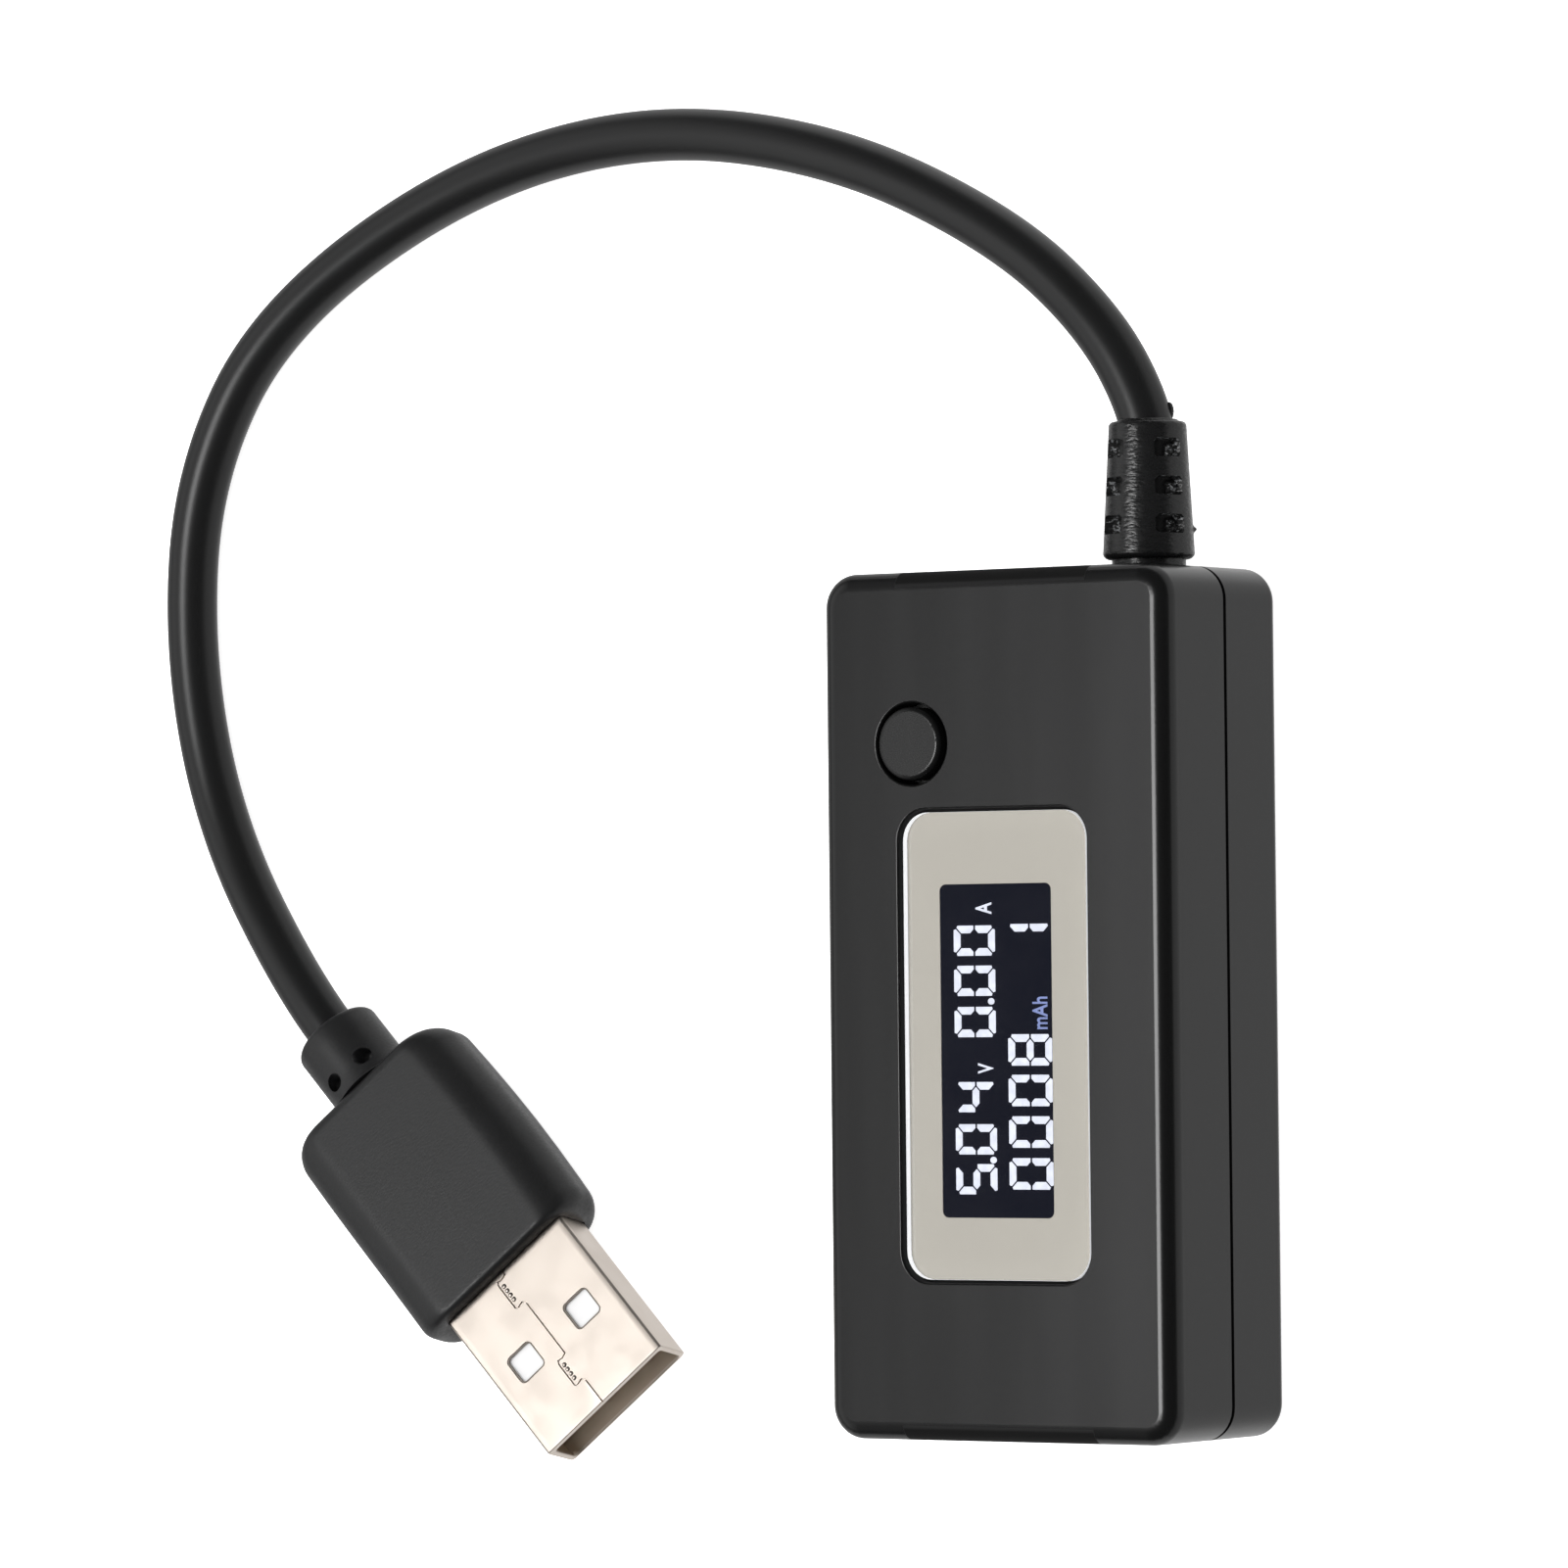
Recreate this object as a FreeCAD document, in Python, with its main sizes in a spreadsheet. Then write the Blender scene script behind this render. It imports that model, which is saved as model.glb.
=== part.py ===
"""USB power meter: a hand-sized case with a digital readout, one button, a USB-A socket at one
end and a short captive cord with a USB-A plug at the other.

Frame: millimetres. X runs across the display, Y along the case with the cord at +Y, and +Z out of
the display. The origin is the middle of the case's back face, and the case lies on its back.
"""

import FreeCAD, Part
import math
import os
import re
import Sketcher

Vector = FreeCAD.Vector

DIMENSIONS = [
    # case
    ("case_width", 30.0, "case, across the display"),
    ("case_length", 64.0, "case, along the cord"),
    ("case_depth", 16.0, "case, back face to front face"),
    ("part_line", 7.7, "height where the two shells meet"),
    ("wall", 1.6, "side walls"),
    ("back_wall", 1.6, "back wall"),
    ("front_wall", 2.2, "front wall"),
    ("corner", 2.5, "radius of the case's corners in plan"),
    ("front_round", 1.35, "round along the front face's edge"),
    ("back_round", 1.0, "round along the back face's edge"),
    ("lip", 0.8, "thickness of the back shell's locating lip"),
    ("lip_height", 1.1, "height of the lip above the parting line"),
    ("lip_gap", 0.1, "clearance around the lip"),
    ("groove_depth", 0.4, "shadow groove along the parting line, inwards"),
    ("groove_half", 0.2, "half the height of the shadow groove"),
    # display lens and its printed mask
    ("lens_x", -0.14, "middle of the lens"),
    ("lens_y", -2.97, "middle of the lens"),
    ("lens_width", 15.8, "lens across"),
    ("lens_length", 34.35, "lens along"),
    ("lens_corner", 2.1, "lens corner radius"),
    ("lens_thick", 0.6, "lens plate"),
    ("lens_sunk", 0.3, "lens face below the front face"),
    ("lens_gap", 0.25, "gap between the lens and its recess"),
    ("recess_round", 0.15, "round on the lip of the recess"),
    ("print_thick", 0.08, "printed mask on the back of the lens"),
    ("tape_thick", 0.12, "adhesive tape under the lens"),
    ("window_x", -0.43, "middle of the clear window"),
    ("window_y", -3.35, "middle of the clear window"),
    ("window_width", 9.65, "window across"),
    ("window_length", 24.5, "window along"),
    ("window_corner", 0.5, "window corner radius"),
    # liquid crystal display and its light
    ("lcd_x", -0.14, "middle of the display glass"),
    ("lcd_y", -3.35, "middle of the display glass"),
    ("lcd_width", 14.5, "display glass across"),
    ("lcd_length", 29.1, "display glass along"),
    ("lcd_ledge", 1.2, "contact ledge of the rear glass beyond the front glass"),
    ("lcd_fit", 0.15, "gap between the glass and the case"),
    ("polarizer_thick", 0.15, "each polarizer film"),
    ("glass_thick", 0.55, "each display glass"),
    ("cell_gap", 0.1, "space between the two glasses"),
    ("segment_thick", 0.06, "segment layer in that space"),
    ("digit_height", 3.7, "digit, foot to head"),
    ("digit_width", 2.26, "digit, side to side"),
    ("digit_pitch", 3.05, "step from digit to digit"),
    ("stroke", 0.56, "width of a segment"),
    ("light_depth", 3.0, "backlight guide"),
    ("glass_corner", 0.1, "corner radius of the display's glasses and films"),
    ("guide_corner", 0.25, "corner radius of the backlight guide and its carrier"),
    ("board_corner", 0.25, "corner radius of the board"),
    ("rib_corner", 0.1, "corner radius of the ribs under the socket"),
    ("board_top", 8.5, "component side of the board"),
    ("board_thick", 1.6, "board"),
    ("pin_pitch", 1.8, "display pins"),
    ("pin_wide", 0.5, "display pins, along the row"),
    ("pin_thick", 0.25, "display pins, across the row"),
    # button and the switch under it
    ("button_x", -7.02, "middle of the button"),
    ("button_y", 19.3, "middle of the button"),
    ("button_hole", 3.06, "radius of the hole in the front shell"),
    ("cap_radius", 2.7, "button cap"),
    ("cap_proud", 0.4, "cap above the front face"),
    ("cap_round", 0.35, "round on the cap's edge"),
    ("flange_radius", 3.7, "cap's retaining flange"),
    ("flange_thick", 0.8, "cap's retaining flange"),
    ("flange_gap", 0.15, "flange below the front wall"),
    ("cap_gap", 0.05, "cap above the switch plunger"),
    ("switch_side", 6.0, "switch housing, square"),
    ("switch_base_height", 3.0, "switch housing"),
    ("cover_thick", 0.25, "switch cover plate"),
    ("cover_hole", 1.8, "radius of the hole in the cover plate"),
    ("cavity_radius", 2.35, "cavity in the switch housing"),
    ("cavity_depth", 0.9, "cavity in the switch housing"),
    ("plunger_radius", 1.7, "switch plunger"),
    ("collar_radius", 2.1, "plunger's collar under the cover"),
    ("collar_thick", 0.28, "plunger's collar under the cover"),
    ("dome_radius", 2.1, "snap dome in plan"),
    ("dome_rise", 0.35, "snap dome"),
    ("dome_thick", 0.08, "snap dome"),
    ("foot_reach", 1.3, "switch terminals, outwards"),
    ("foot_wide", 0.7, "switch terminals, across"),
    ("foot_row", 2.25, "switch terminals from the middle of the switch"),
    # board
    ("board_width", 25.8, "board across"),
    ("board_start", -30.2, "board's end beside the socket"),
    ("board_end", 23.0, "board's end before the cord"),
    ("notch_width", 13.8, "board's notch for the socket"),
    ("notch_end", -17.2, "inner end of the notch"),
    ("post_x", 11.2, "board posts, from the middle"),
    ("post_near", -16.5, "board posts beside the socket end"),
    ("post_far", 13.5, "board posts beside the cord end"),
    ("post_radius", 1.6, "board posts"),
    ("peg_radius", 0.8, "pegs on the posts"),
    ("peg_gap", 0.1, "clearance of a peg in the board"),
    ("peg_rise", 0.4, "pegs above the board"),
    ("lead_reach", 1.0, "chip leads, outwards"),
    ("lead_wide", 0.4, "chip leads, across"),
    # socket
    ("socket_width", 13.1, "socket shell outside"),
    ("socket_height", 5.7, "socket shell outside"),
    ("socket_depth", 13.4, "socket shell, mouth to back"),
    ("socket_corner", 0.8, "socket shell corner radius"),
    ("socket_sunk", 0.2, "socket mouth inside the case end"),
    ("socket_fit", 0.15, "gap between the socket and the case"),
    ("sheet_metal", 0.3, "shell of the socket and of the plug"),
    ("tongue_width", 11.1, "socket tongue"),
    ("tongue_thick", 1.84, "socket tongue"),
    ("tongue_up", 0.98, "tongue's middle above the socket's middle"),
    ("tongue_inset", 0.9, "tongue's tip inside the mouth"),
    ("block_depth", 2.0, "moulded block at the back of the socket"),
    ("block_gap", 0.25, "gap above and below that block"),
    ("block_side", 0.1, "gap on each side of that block"),
    ("tab_reach", 1.8, "solder tabs of the socket, outwards"),
    ("tab_wide", 2.0, "solder tabs of the socket, along"),
    ("tab_sunk", 0.2, "solder tabs inside the shell's outline"),
    ("tab_near", -28.5, "solder tabs beside the mouth"),
    ("tab_far", -20.5, "solder tabs beside the back"),
    ("contact_wide", 1.0, "socket and plug contacts"),
    ("contact_thick", 0.2, "socket and plug contacts"),
    ("contact_inner", 1.0, "inner contacts from the middle"),
    ("contact_outer", 3.5, "outer contacts from the middle"),
    # cord and boot
    ("cord_x", 8.6, "where the cord leaves the case"),
    ("cord_radius", 2.0, "cord jacket"),
    ("boot_start", 32.6, "boot's large end"),
    ("boot_end", 42.75, "boot's small end"),
    ("boot_big", 3.4, "boot radius at its large end"),
    ("boot_small", 2.85, "boot radius at its small end"),
    ("boot_neck", 2.73, "boot's neck through the case wall"),
    ("boot_flange", 3.8, "boot's flange inside the case"),
    ("boot_flange_thick", 1.5, "boot's flange inside the case"),
    ("boot_fit", 0.05, "gap round the boot's neck"),
    ("boot_bore_gap", 0.03, "gap between the jacket and the boot"),
    ("slot_first", 35.13, "first row of slots in the boot"),
    ("slot_pitch", 2.8, "rows of slots"),
    ("slot_wide", 1.3, "slots, along the cord"),
    ("slot_angle", 42.0, "slots, round the cord, in degrees"),
    ("slot_turn", 62.3, "middle of the first slots, from +Z towards +X, in degrees"),
    ("slot_floor", 2.25, "radius left under the slots"),
    ("tail_start", 26.2, "jacket's cut end inside the case"),
    ("tail_end", 41.4, "end of the jacket's straight run, inside the boot"),
    ("wire_radius", 0.5, "each insulated wire"),
    ("wire_offset", 0.72, "wires from the cord's middle"),
    ("wire_pitch", 2.2, "wire pads on the board"),
    ("wire_end", 21.1, "wires' ends on the board"),
    # plug
    ("plug_x", -50.63, "plug, where its shell enters the overmould"),
    ("plug_y", -20.57, "plug, where its shell enters the overmould"),
    ("plug_z", 5.39, "plug, where its shell enters the overmould"),
    ("plug_heading", -135.95, "plug's turn about Z, in degrees"),
    ("plug_pitch", 1.26, "plug's tip raised, in degrees"),
    ("plug_roll", -12.8, "plug's turn about its own length, in degrees"),
    ("plug_width", 12.0, "plug shell outside"),
    ("plug_height", 4.5, "plug shell outside"),
    ("plug_corner", 0.6, "plug shell corner radius"),
    ("plug_exposed", 13.6, "plug shell outside the overmould"),
    ("plug_buried", 6.0, "plug shell inside the overmould"),
    ("latch_side", 2.5, "latch holes, square"),
    ("latch_corner", 0.45, "latch holes, corner radius"),
    ("latch_x", 3.07, "latch holes from the middle"),
    ("latch_y", 6.8, "latch holes from the overmould"),
    ("slab_width", 10.8, "plug's contact carrier"),
    ("slab_thick", 1.9, "plug's contact carrier"),
    ("slab_inset", 0.7, "carrier's end inside the plug's mouth"),
    ("mould_width", 16.6, "plug overmould"),
    ("mould_thick", 7.8, "plug overmould"),
    ("mould_length", 19.7, "plug overmould without its neck"),
    ("mould_side", 3.3, "overmould's side radius"),
    ("mould_back", 1.2, "round at the overmould's back"),
    ("mould_front", 0.6, "round at the overmould's front"),
    ("mould_shift", 0.25, "overmould's middle beside the shell's"),
    ("neck_radius", 3.5, "overmould's neck"),
    ("neck_length", 6.0, "overmould's neck"),
    ("neck_shift", -0.2, "neck's middle beside the shell's"),
    ("neck_round", 0.5, "round at the neck's end"),
    ("neck_hole", 0.65, "radius of the neck's two pits"),
    ("neck_hole_x", 1.6, "neck's pits from its middle"),
    ("neck_hole_y", 1.6, "neck's pits from the overmould's back"),
    ("neck_hole_deep", 1.8, "neck's pits"),
]

# the cord's route, one corner a line, from inside the boot towards the plug; the last corner, at the
# plug's neck, and the one before it, in line with the plug, are worked out from the plug's place
ROUTE = [
    (8.6, 41.4, 7.7),
    (8.6, 43.4, 7.7),
    (4.6, 50.25, 7.6),
    (-4.05, 57.55, 7.0),
    (-20.0, 64.8, 5.6),
    (-39.0, 67.8, 3.6),
    (-58.0, 64.6, 2.3),
    (-76.0, 54.9, 2.03),
    (-83.5, 43.0, 2.03),
    (-84.7, 28.9, 2.03),
    (-81.5, 14.6, 2.2),
]
LAST_RUN = 5.2
ARC_SHARE = 0.45

doc = FreeCAD.newDocument("UsbPowerMeter")
sheet = doc.addObject("Spreadsheet::Sheet", "Dims")
for row, (alias, value, note) in enumerate(DIMENSIONS, start=1):
    sheet.set(f"A{row}", note)
    sheet.set(f"B{row}", str(value))
    sheet.setAlias(f"B{row}", alias)
doc.recompute()
ALIASES = {alias for alias, value, note in DIMENSIONS}
NODES = []


# ---------------------------------------------------------------- helpers

def size(alias):
    """The value of one cell of the sheet."""
    return float(sheet.get(alias))


def bind(item, prop, expression):
    """Bind a property to an expression in the sheet's aliases."""
    def qualified(word):
        return "Dims." + word.group() if word.group() in ALIASES else word.group()

    item.setExpression(prop, re.sub(r"[a-z][a-z0-9_]*", qualified, str(expression)))


def bind_base(item, place, prop="Placement"):
    """Bind the three coordinates of a placement."""
    for axis, expression in zip("xyz", place):
        bind(item, f"{prop}.Base.{axis}", expression)


def keep(item, node):
    """Give an object the name of its node and list it for writing."""
    item.Label = node
    NODES.append(item)
    return item


def box(name, extent, place):
    """A block with one corner at place."""
    item = doc.addObject("Part::Box", name)
    for prop, expression in zip(("Length", "Width", "Height"), extent):
        bind(item, prop, expression)
    bind_base(item, place)
    return item


def cylinder(name, radius, height, place, axis=Vector(0, 0, 1)):
    """A round bar that starts at place and runs along axis."""
    item = doc.addObject("Part::Cylinder", name)
    bind(item, "Radius", radius)
    bind(item, "Height", height)
    item.Placement = FreeCAD.Placement(Vector(), FreeCAD.Rotation(Vector(0, 0, 1), axis))
    bind_base(item, place)
    return item


def fuse(name, parts):
    """One solid of several that meet."""
    item = doc.addObject("Part::MultiFuse", name)
    item.Shapes = parts
    item.Refine = True
    return item


def cut(name, base, tool):
    """base without tool."""
    item = doc.addObject("Part::Cut", name)
    item.Base = base
    item.Tool = tool
    return item


def group(name, parts):
    """Several separate solids in one node."""
    item = doc.addObject("Part::Compound", name)
    item.Links = parts
    return item


def new_body(node):
    """An empty PartDesign body for one node."""
    return keep(doc.addObject("PartDesign::Body", node.title().replace("_", "")), node)


def sketch_on(body, role, place):
    """An empty sketch on one of the body's origin planes, moved by place in the plane's own axes."""
    plane = next(feature for feature in body.Origin.OriginFeatures if feature.Role == role)
    sketch = body.newObject("Sketcher::SketchObject", body.Name + "Sketch")
    sketch.AttachmentSupport = [(plane, "")]
    sketch.MapMode = "FlatFace"
    bind_base(sketch, place, "AttachmentOffset")
    return sketch


def flat_sketch(body, height, x="0", y="0"):
    """A level sketch at a height."""
    return sketch_on(body, "XY_Plane", (x, y, height))


def upright_sketch(body, y, x="0", z="0"):
    """An upright sketch that faces -Y, at a place along Y."""
    return sketch_on(body, "XZ_Plane", (x, z, f"-({y})"))


def rounded_rectangle(sketch, width, length, radius):
    """A rounded rectangle about the sketch's origin, constrained and bound to the sheet."""
    first = sketch.GeometryCount
    half_x, half_y, turn = 5.0, 4.0, 1.0
    corners = [(1, -1), (1, 1), (-1, 1), (-1, -1)]
    for index, (side_x, side_y) in enumerate(corners):
        before_x, before_y = corners[index - 1]
        along_x = (side_x - before_x) / 2
        along_y = (side_y - before_y) / 2
        start = Vector(before_x * half_x + along_x * turn, before_y * half_y + along_y * turn, 0)
        end = Vector(side_x * half_x - along_x * turn, side_y * half_y - along_y * turn, 0)
        sketch.addGeometry(Part.LineSegment(start, end), False)
        centre = Vector(side_x * (half_x - turn), side_y * (half_y - turn), 0)
        begin = math.radians(-90 + 90 * index)
        arc = Part.ArcOfCircle(Part.Circle(centre, Vector(0, 0, 1), turn), begin, begin + math.pi / 2)
        sketch.addGeometry(arc, False)
    add = sketch.addConstraint
    for index in range(4):
        line = first + 2 * index
        add(Sketcher.Constraint("Tangent", line, 2, line + 1, 1))
        add(Sketcher.Constraint("Tangent", line + 1, 2, first + (2 * index + 2) % 8, 1))
        add(Sketcher.Constraint("Horizontal" if index % 2 == 0 else "Vertical", line))
        if index:
            add(Sketcher.Constraint("Equal", first + 1, line + 1))
    add(Sketcher.Constraint("Symmetric", first, 1, first + 4, 1, -1, 1))
    drive(sketch, add(Sketcher.Constraint("Radius", first + 1, turn)), radius)
    drive(sketch, add(Sketcher.Constraint("DistanceX", first + 6, 1, first + 2, 1, 2 * half_x)), width)
    drive(sketch, add(Sketcher.Constraint("DistanceY", first, 1, first + 4, 1, 2 * half_y)), length)


def circle(sketch, radius):
    """A circle about the sketch's origin, bound to the sheet."""
    index = sketch.addGeometry(Part.Circle(Vector(), Vector(0, 0, 1), 1.0), False)
    sketch.addConstraint(Sketcher.Constraint("Coincident", index, 3, -1, 1))
    drive(sketch, sketch.addConstraint(Sketcher.Constraint("Radius", index, 1.0)), radius)


def drive(sketch, index, expression):
    """Bind one constraint of a sketch."""
    bind(sketch, f"Constraints[{index}]", expression)


def pad(body, sketch, length, back=False):
    """Add material along the sketch's normal, or against it."""
    feature = body.newObject("PartDesign::Pad", body.Name + "Pad")
    feature.Profile = sketch
    feature.Reversed = back
    bind(feature, "Length", length)


def pocket(body, sketch, depth, forward=False):
    """Remove material against the sketch's normal, or along it, and check that some went."""
    doc.recompute()
    before = body.Shape.Volume
    feature = body.newObject("PartDesign::Pocket", body.Name + "Pocket")
    feature.Profile = sketch
    feature.Reversed = forward
    bind(feature, "Length", depth)
    doc.recompute()
    if body.Shape.Volume > before - 1e-6:
        raise RuntimeError(f"{feature.Name} in {body.Label} cuts nothing")


def round_edges(body, radius, test):
    """Round the edges of the body's tip that pass a test on their box and their curve."""
    doc.recompute()
    tip = body.Tip
    names = [f"Edge{i}" for i, edge in enumerate(tip.Shape.Edges, start=1) if test(edge)]
    if not names:
        raise RuntimeError(f"no edge to round in {body.Label}")
    feature = body.newObject("PartDesign::Fillet", body.Name + "Fillet")
    feature.Base = (tip, names)
    bind(feature, "Radius", radius)
    doc.recompute()


def at_height(height, within=None):
    """Test for edges that lie wholly at a height and whose box passes a further test, if any."""
    def test(edge):
        bounds = edge.BoundBox
        level = abs(bounds.ZMin - height) < 1e-4 and abs(bounds.ZMax - height) < 1e-4
        return level and (within is None or within(bounds))

    return test


def at_length(place):
    """Test for edges that lie wholly at a place along Y."""
    def test(edge):
        bounds = edge.BoundBox
        return abs(bounds.YMin - place) < 1e-4 and abs(bounds.YMax - place) < 1e-4

    return test


def plate(node, width, length, corner, thick, x, y, z):
    """A flat plate with rounded corners, centred on x and y, with its lower face at z."""
    body = new_body(node)
    outline = flat_sketch(body, z, x, y)
    rounded_rectangle(outline, width, length, corner)
    pad(body, outline, thick)
    return body


CONTACT_PLACES = ("-contact_outer", "-contact_inner", "contact_inner", "contact_outer")


def contact_strip(name, place, extent, y, z):
    """One contact strip as wide as the standard makes it, centred on its place across."""
    return box(name, ("contact_wide", *extent), (f"{place} - contact_wide / 2", y, z))


# ---------------------------------------------------------------- case

def ring_sketch(body, height, wide_x, wide_y, wide_corner, slim_x, slim_y, slim_corner):
    """A level sketch of the band between two rounded rectangles."""
    sketch = flat_sketch(body, height)
    rounded_rectangle(sketch, wide_x, wide_y, wide_corner)
    rounded_rectangle(sketch, slim_x, slim_y, slim_corner)
    return sketch


def cut_ends(body):
    """Cut the socket's mouth and the hole for the boot's neck through the end walls."""
    mouth = upright_sketch(body, "-case_length / 2", "0", "part_line")
    rounded_rectangle(mouth, "socket_width + 2 * socket_fit", "socket_height + 2 * socket_fit",
                      "socket_corner")
    pocket(body, mouth, "wall + lip_gap")
    hole = upright_sketch(body, "case_length / 2", "cord_x", "part_line")
    circle(hole, "boot_neck + boot_fit")
    pocket(body, hole, "wall + lip_gap", forward=True)


def cut_groove(body, upwards):
    """Cut this shell's half of the shadow groove."""
    ring = ring_sketch(body, "part_line", "case_width + 2", "case_length + 2", "corner + 1",
                       "case_width - 2 * groove_depth", "case_length - 2 * groove_depth",
                       "corner - groove_depth")
    pocket(body, ring, "groove_half", forward=upwards)


def make_back_shell():
    """The tray that the board sits in, with a locating lip and four pegged posts."""
    body = new_body("back_shell")
    outline = flat_sketch(body, "0")
    rounded_rectangle(outline, "case_width", "case_length", "corner")
    pad(body, outline, "part_line")
    round_edges(body, "back_round", at_height(0.0))
    cut_groove(body, upwards=False)
    hollow = flat_sketch(body, "part_line")
    rounded_rectangle(hollow, "case_width - 2 * wall", "case_length - 2 * wall", "corner - wall")
    pocket(body, hollow, "part_line - back_wall")
    lip = ring_sketch(body, "part_line", "case_width - 2 * (wall - lip)",
                      "case_length - 2 * (wall - lip)", "corner - wall + lip",
                      "case_width - 2 * wall", "case_length - 2 * wall", "corner - wall")
    pad(body, lip, "lip_height")
    cut_ends(body)
    for x in ("-post_x", "post_x"):
        for y in ("post_near", "post_far"):
            post = flat_sketch(body, "back_wall", x, y)
            circle(post, "post_radius")
            pad(body, post, "board_top - board_thick - back_wall")
            peg = flat_sketch(body, "board_top - board_thick", x, y)
            circle(peg, "peg_radius")
            pad(body, peg, "board_thick + peg_rise")
    for y in ("-28", "-21"):
        rest = flat_sketch(body, "back_wall", "0", y)
        rounded_rectangle(rest, "socket_width - 3", "wall", "rib_corner")
        pad(body, rest, "part_line - socket_height / 2 - back_wall")


def make_front_shell():
    """The cover with the lens recess, the display's aperture and the button's hole."""
    body = new_body("front_shell")
    outline = flat_sketch(body, "part_line")
    rounded_rectangle(outline, "case_width", "case_length", "corner")
    pad(body, outline, "case_depth - part_line")
    round_edges(body, "front_round", at_height(size("case_depth")))
    cut_groove(body, upwards=True)
    hollow = flat_sketch(body, "part_line")
    rounded_rectangle(hollow, "case_width - 2 * wall", "case_length - 2 * wall", "corner - wall")
    pocket(body, hollow, "case_depth - part_line - front_wall", forward=True)
    rebate = flat_sketch(body, "part_line")
    rounded_rectangle(rebate, "case_width - 2 * (wall - lip - lip_gap)",
                      "case_length - 2 * (wall - lip - lip_gap)", "corner - wall + lip + lip_gap")
    pocket(body, rebate, "lip_height + lip_gap", forward=True)
    cut_ends(body)
    recess = flat_sketch(body, "case_depth", "lens_x", "lens_y")
    rounded_rectangle(recess, "lens_width + 2 * lens_gap", "lens_length + 2 * lens_gap",
                      "lens_corner + lens_gap")
    pocket(body, recess, "lens_sunk + lens_thick + print_thick + tape_thick")
    aperture = flat_sketch(body, "case_depth", "lcd_x", "lcd_y")
    rounded_rectangle(aperture, "lcd_width + 2 * lcd_fit", "lcd_length + 2 * lcd_fit", "lcd_fit")
    pocket(body, aperture, "front_wall + lip_gap")
    hole = flat_sketch(body, "case_depth", "button_x", "button_y")
    circle(hole, "button_hole")
    pocket(body, hole, "front_wall + lip_gap")
    inside = size("case_width") / 2 - size("front_round") - 0.1
    ends = size("case_length") / 2 - size("front_round") - 0.1
    openings = at_height(size("case_depth"), lambda b: b.XMax < inside and b.XMin > -inside
                         and b.YMax < ends and b.YMin > -ends)
    round_edges(body, "recess_round", openings)


# ---------------------------------------------------------------- lens and display

def make_lens():
    """The clear plate, its printed mask and the tape that holds it."""
    plate("display_lens", "lens_width", "lens_length", "lens_corner", "lens_thick",
          "lens_x", "lens_y", "case_depth - lens_sunk - lens_thick")
    mask = plate("lens_mask", "lens_width", "lens_length", "lens_corner", "print_thick",
                 "lens_x", "lens_y", "case_depth - lens_sunk - lens_thick - print_thick")
    window = flat_sketch(mask, "case_depth - lens_sunk - lens_thick", "window_x", "window_y")
    rounded_rectangle(window, "window_width", "window_length", "window_corner")
    pocket(mask, window, "print_thick + 0.1")
    floor = "case_depth - lens_sunk - lens_thick - print_thick - tape_thick"
    tape = plate("lens_tape", "lens_width", "lens_length", "lens_corner", "tape_thick",
                 "lens_x", "lens_y", floor)
    opening = flat_sketch(tape, floor + " + tape_thick", "lcd_x", "lcd_y")
    rounded_rectangle(opening, "lcd_width + 2 * lcd_fit", "lcd_length + 2 * lcd_fit", "lcd_fit")
    pocket(tape, opening, "tape_thick + 0.1")


GLASS_TOP = "case_depth - lens_sunk - lens_thick - print_thick - 0.02"
CELL_TOP = GLASS_TOP + " - polarizer_thick - glass_thick"
CELL_BOTTOM = CELL_TOP + " - cell_gap"
LIGHT_TOP = CELL_BOTTOM + " - glass_thick - polarizer_thick"

SEGMENTS = {"0": "abcdef", "1": "bc", "4": "bcfg", "5": "acdfg", "8": "abcdefg"}
READINGS = [
    (-4.63, -13.9, "5."),
    (-4.63, -10.97, "0"),
    (-4.63, -7.87, "4"),
    (-4.63, -2.35, "0."),
    (-4.63, 0.68, "0"),
    (-4.63, 3.63, "0"),
    (0.08, -13.53, "0"),
    (0.08, -10.47, "0"),
    (0.08, -7.43, "0"),
    (0.08, -4.46, "8"),
    (0.08, 3.62, "1"),
]


def bar(start, end, wide, thick, z):
    """A pointed segment from start to end."""
    along = (end - start).normalize()
    side = Vector(-along.y, along.x, 0) * (wide / 2)
    tip = along * (wide / 2)
    gap = along * (wide * 0.12)
    first = start + gap
    last = end - gap
    points = [first, first + tip + side, last - tip + side, last, last - tip - side, first + tip - side]
    face = Part.Face(Part.makePolygon(points + points[:1]))
    face.translate(Vector(0, 0, z))
    return face.extrude(Vector(0, 0, thick))


def digit_bars(head, start, text, z):
    """The lit segments of one digit, whose head points to -X and whose left side is at start."""
    wide = size("stroke")
    thick = size("segment_thick")
    half = wide / 2
    top = head + half
    foot = head + size("digit_height") - half
    middle = (top + foot) / 2
    left = start + half
    right = start + size("digit_width") - half
    ends = {
        "a": ((top, left), (top, right)),
        "b": ((top, right), (middle, right)),
        "c": ((middle, right), (foot, right)),
        "d": ((foot, left), (foot, right)),
        "e": ((middle, left), (foot, left)),
        "f": ((top, left), (middle, left)),
        "g": ((middle, left), (middle, right)),
    }
    bars = []
    for letter in SEGMENTS[text[0]]:
        (x1, y1), (x2, y2) = ends[letter]
        bars.append(bar(Vector(x1, y1, 0), Vector(x2, y2, 0), wide, thick, z))
    if text.endswith("."):
        spot = Vector(foot - half, right + wide * 0.95, z)
        bars.append(Part.makeBox(wide, wide, thick, spot))
    return bars


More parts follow.
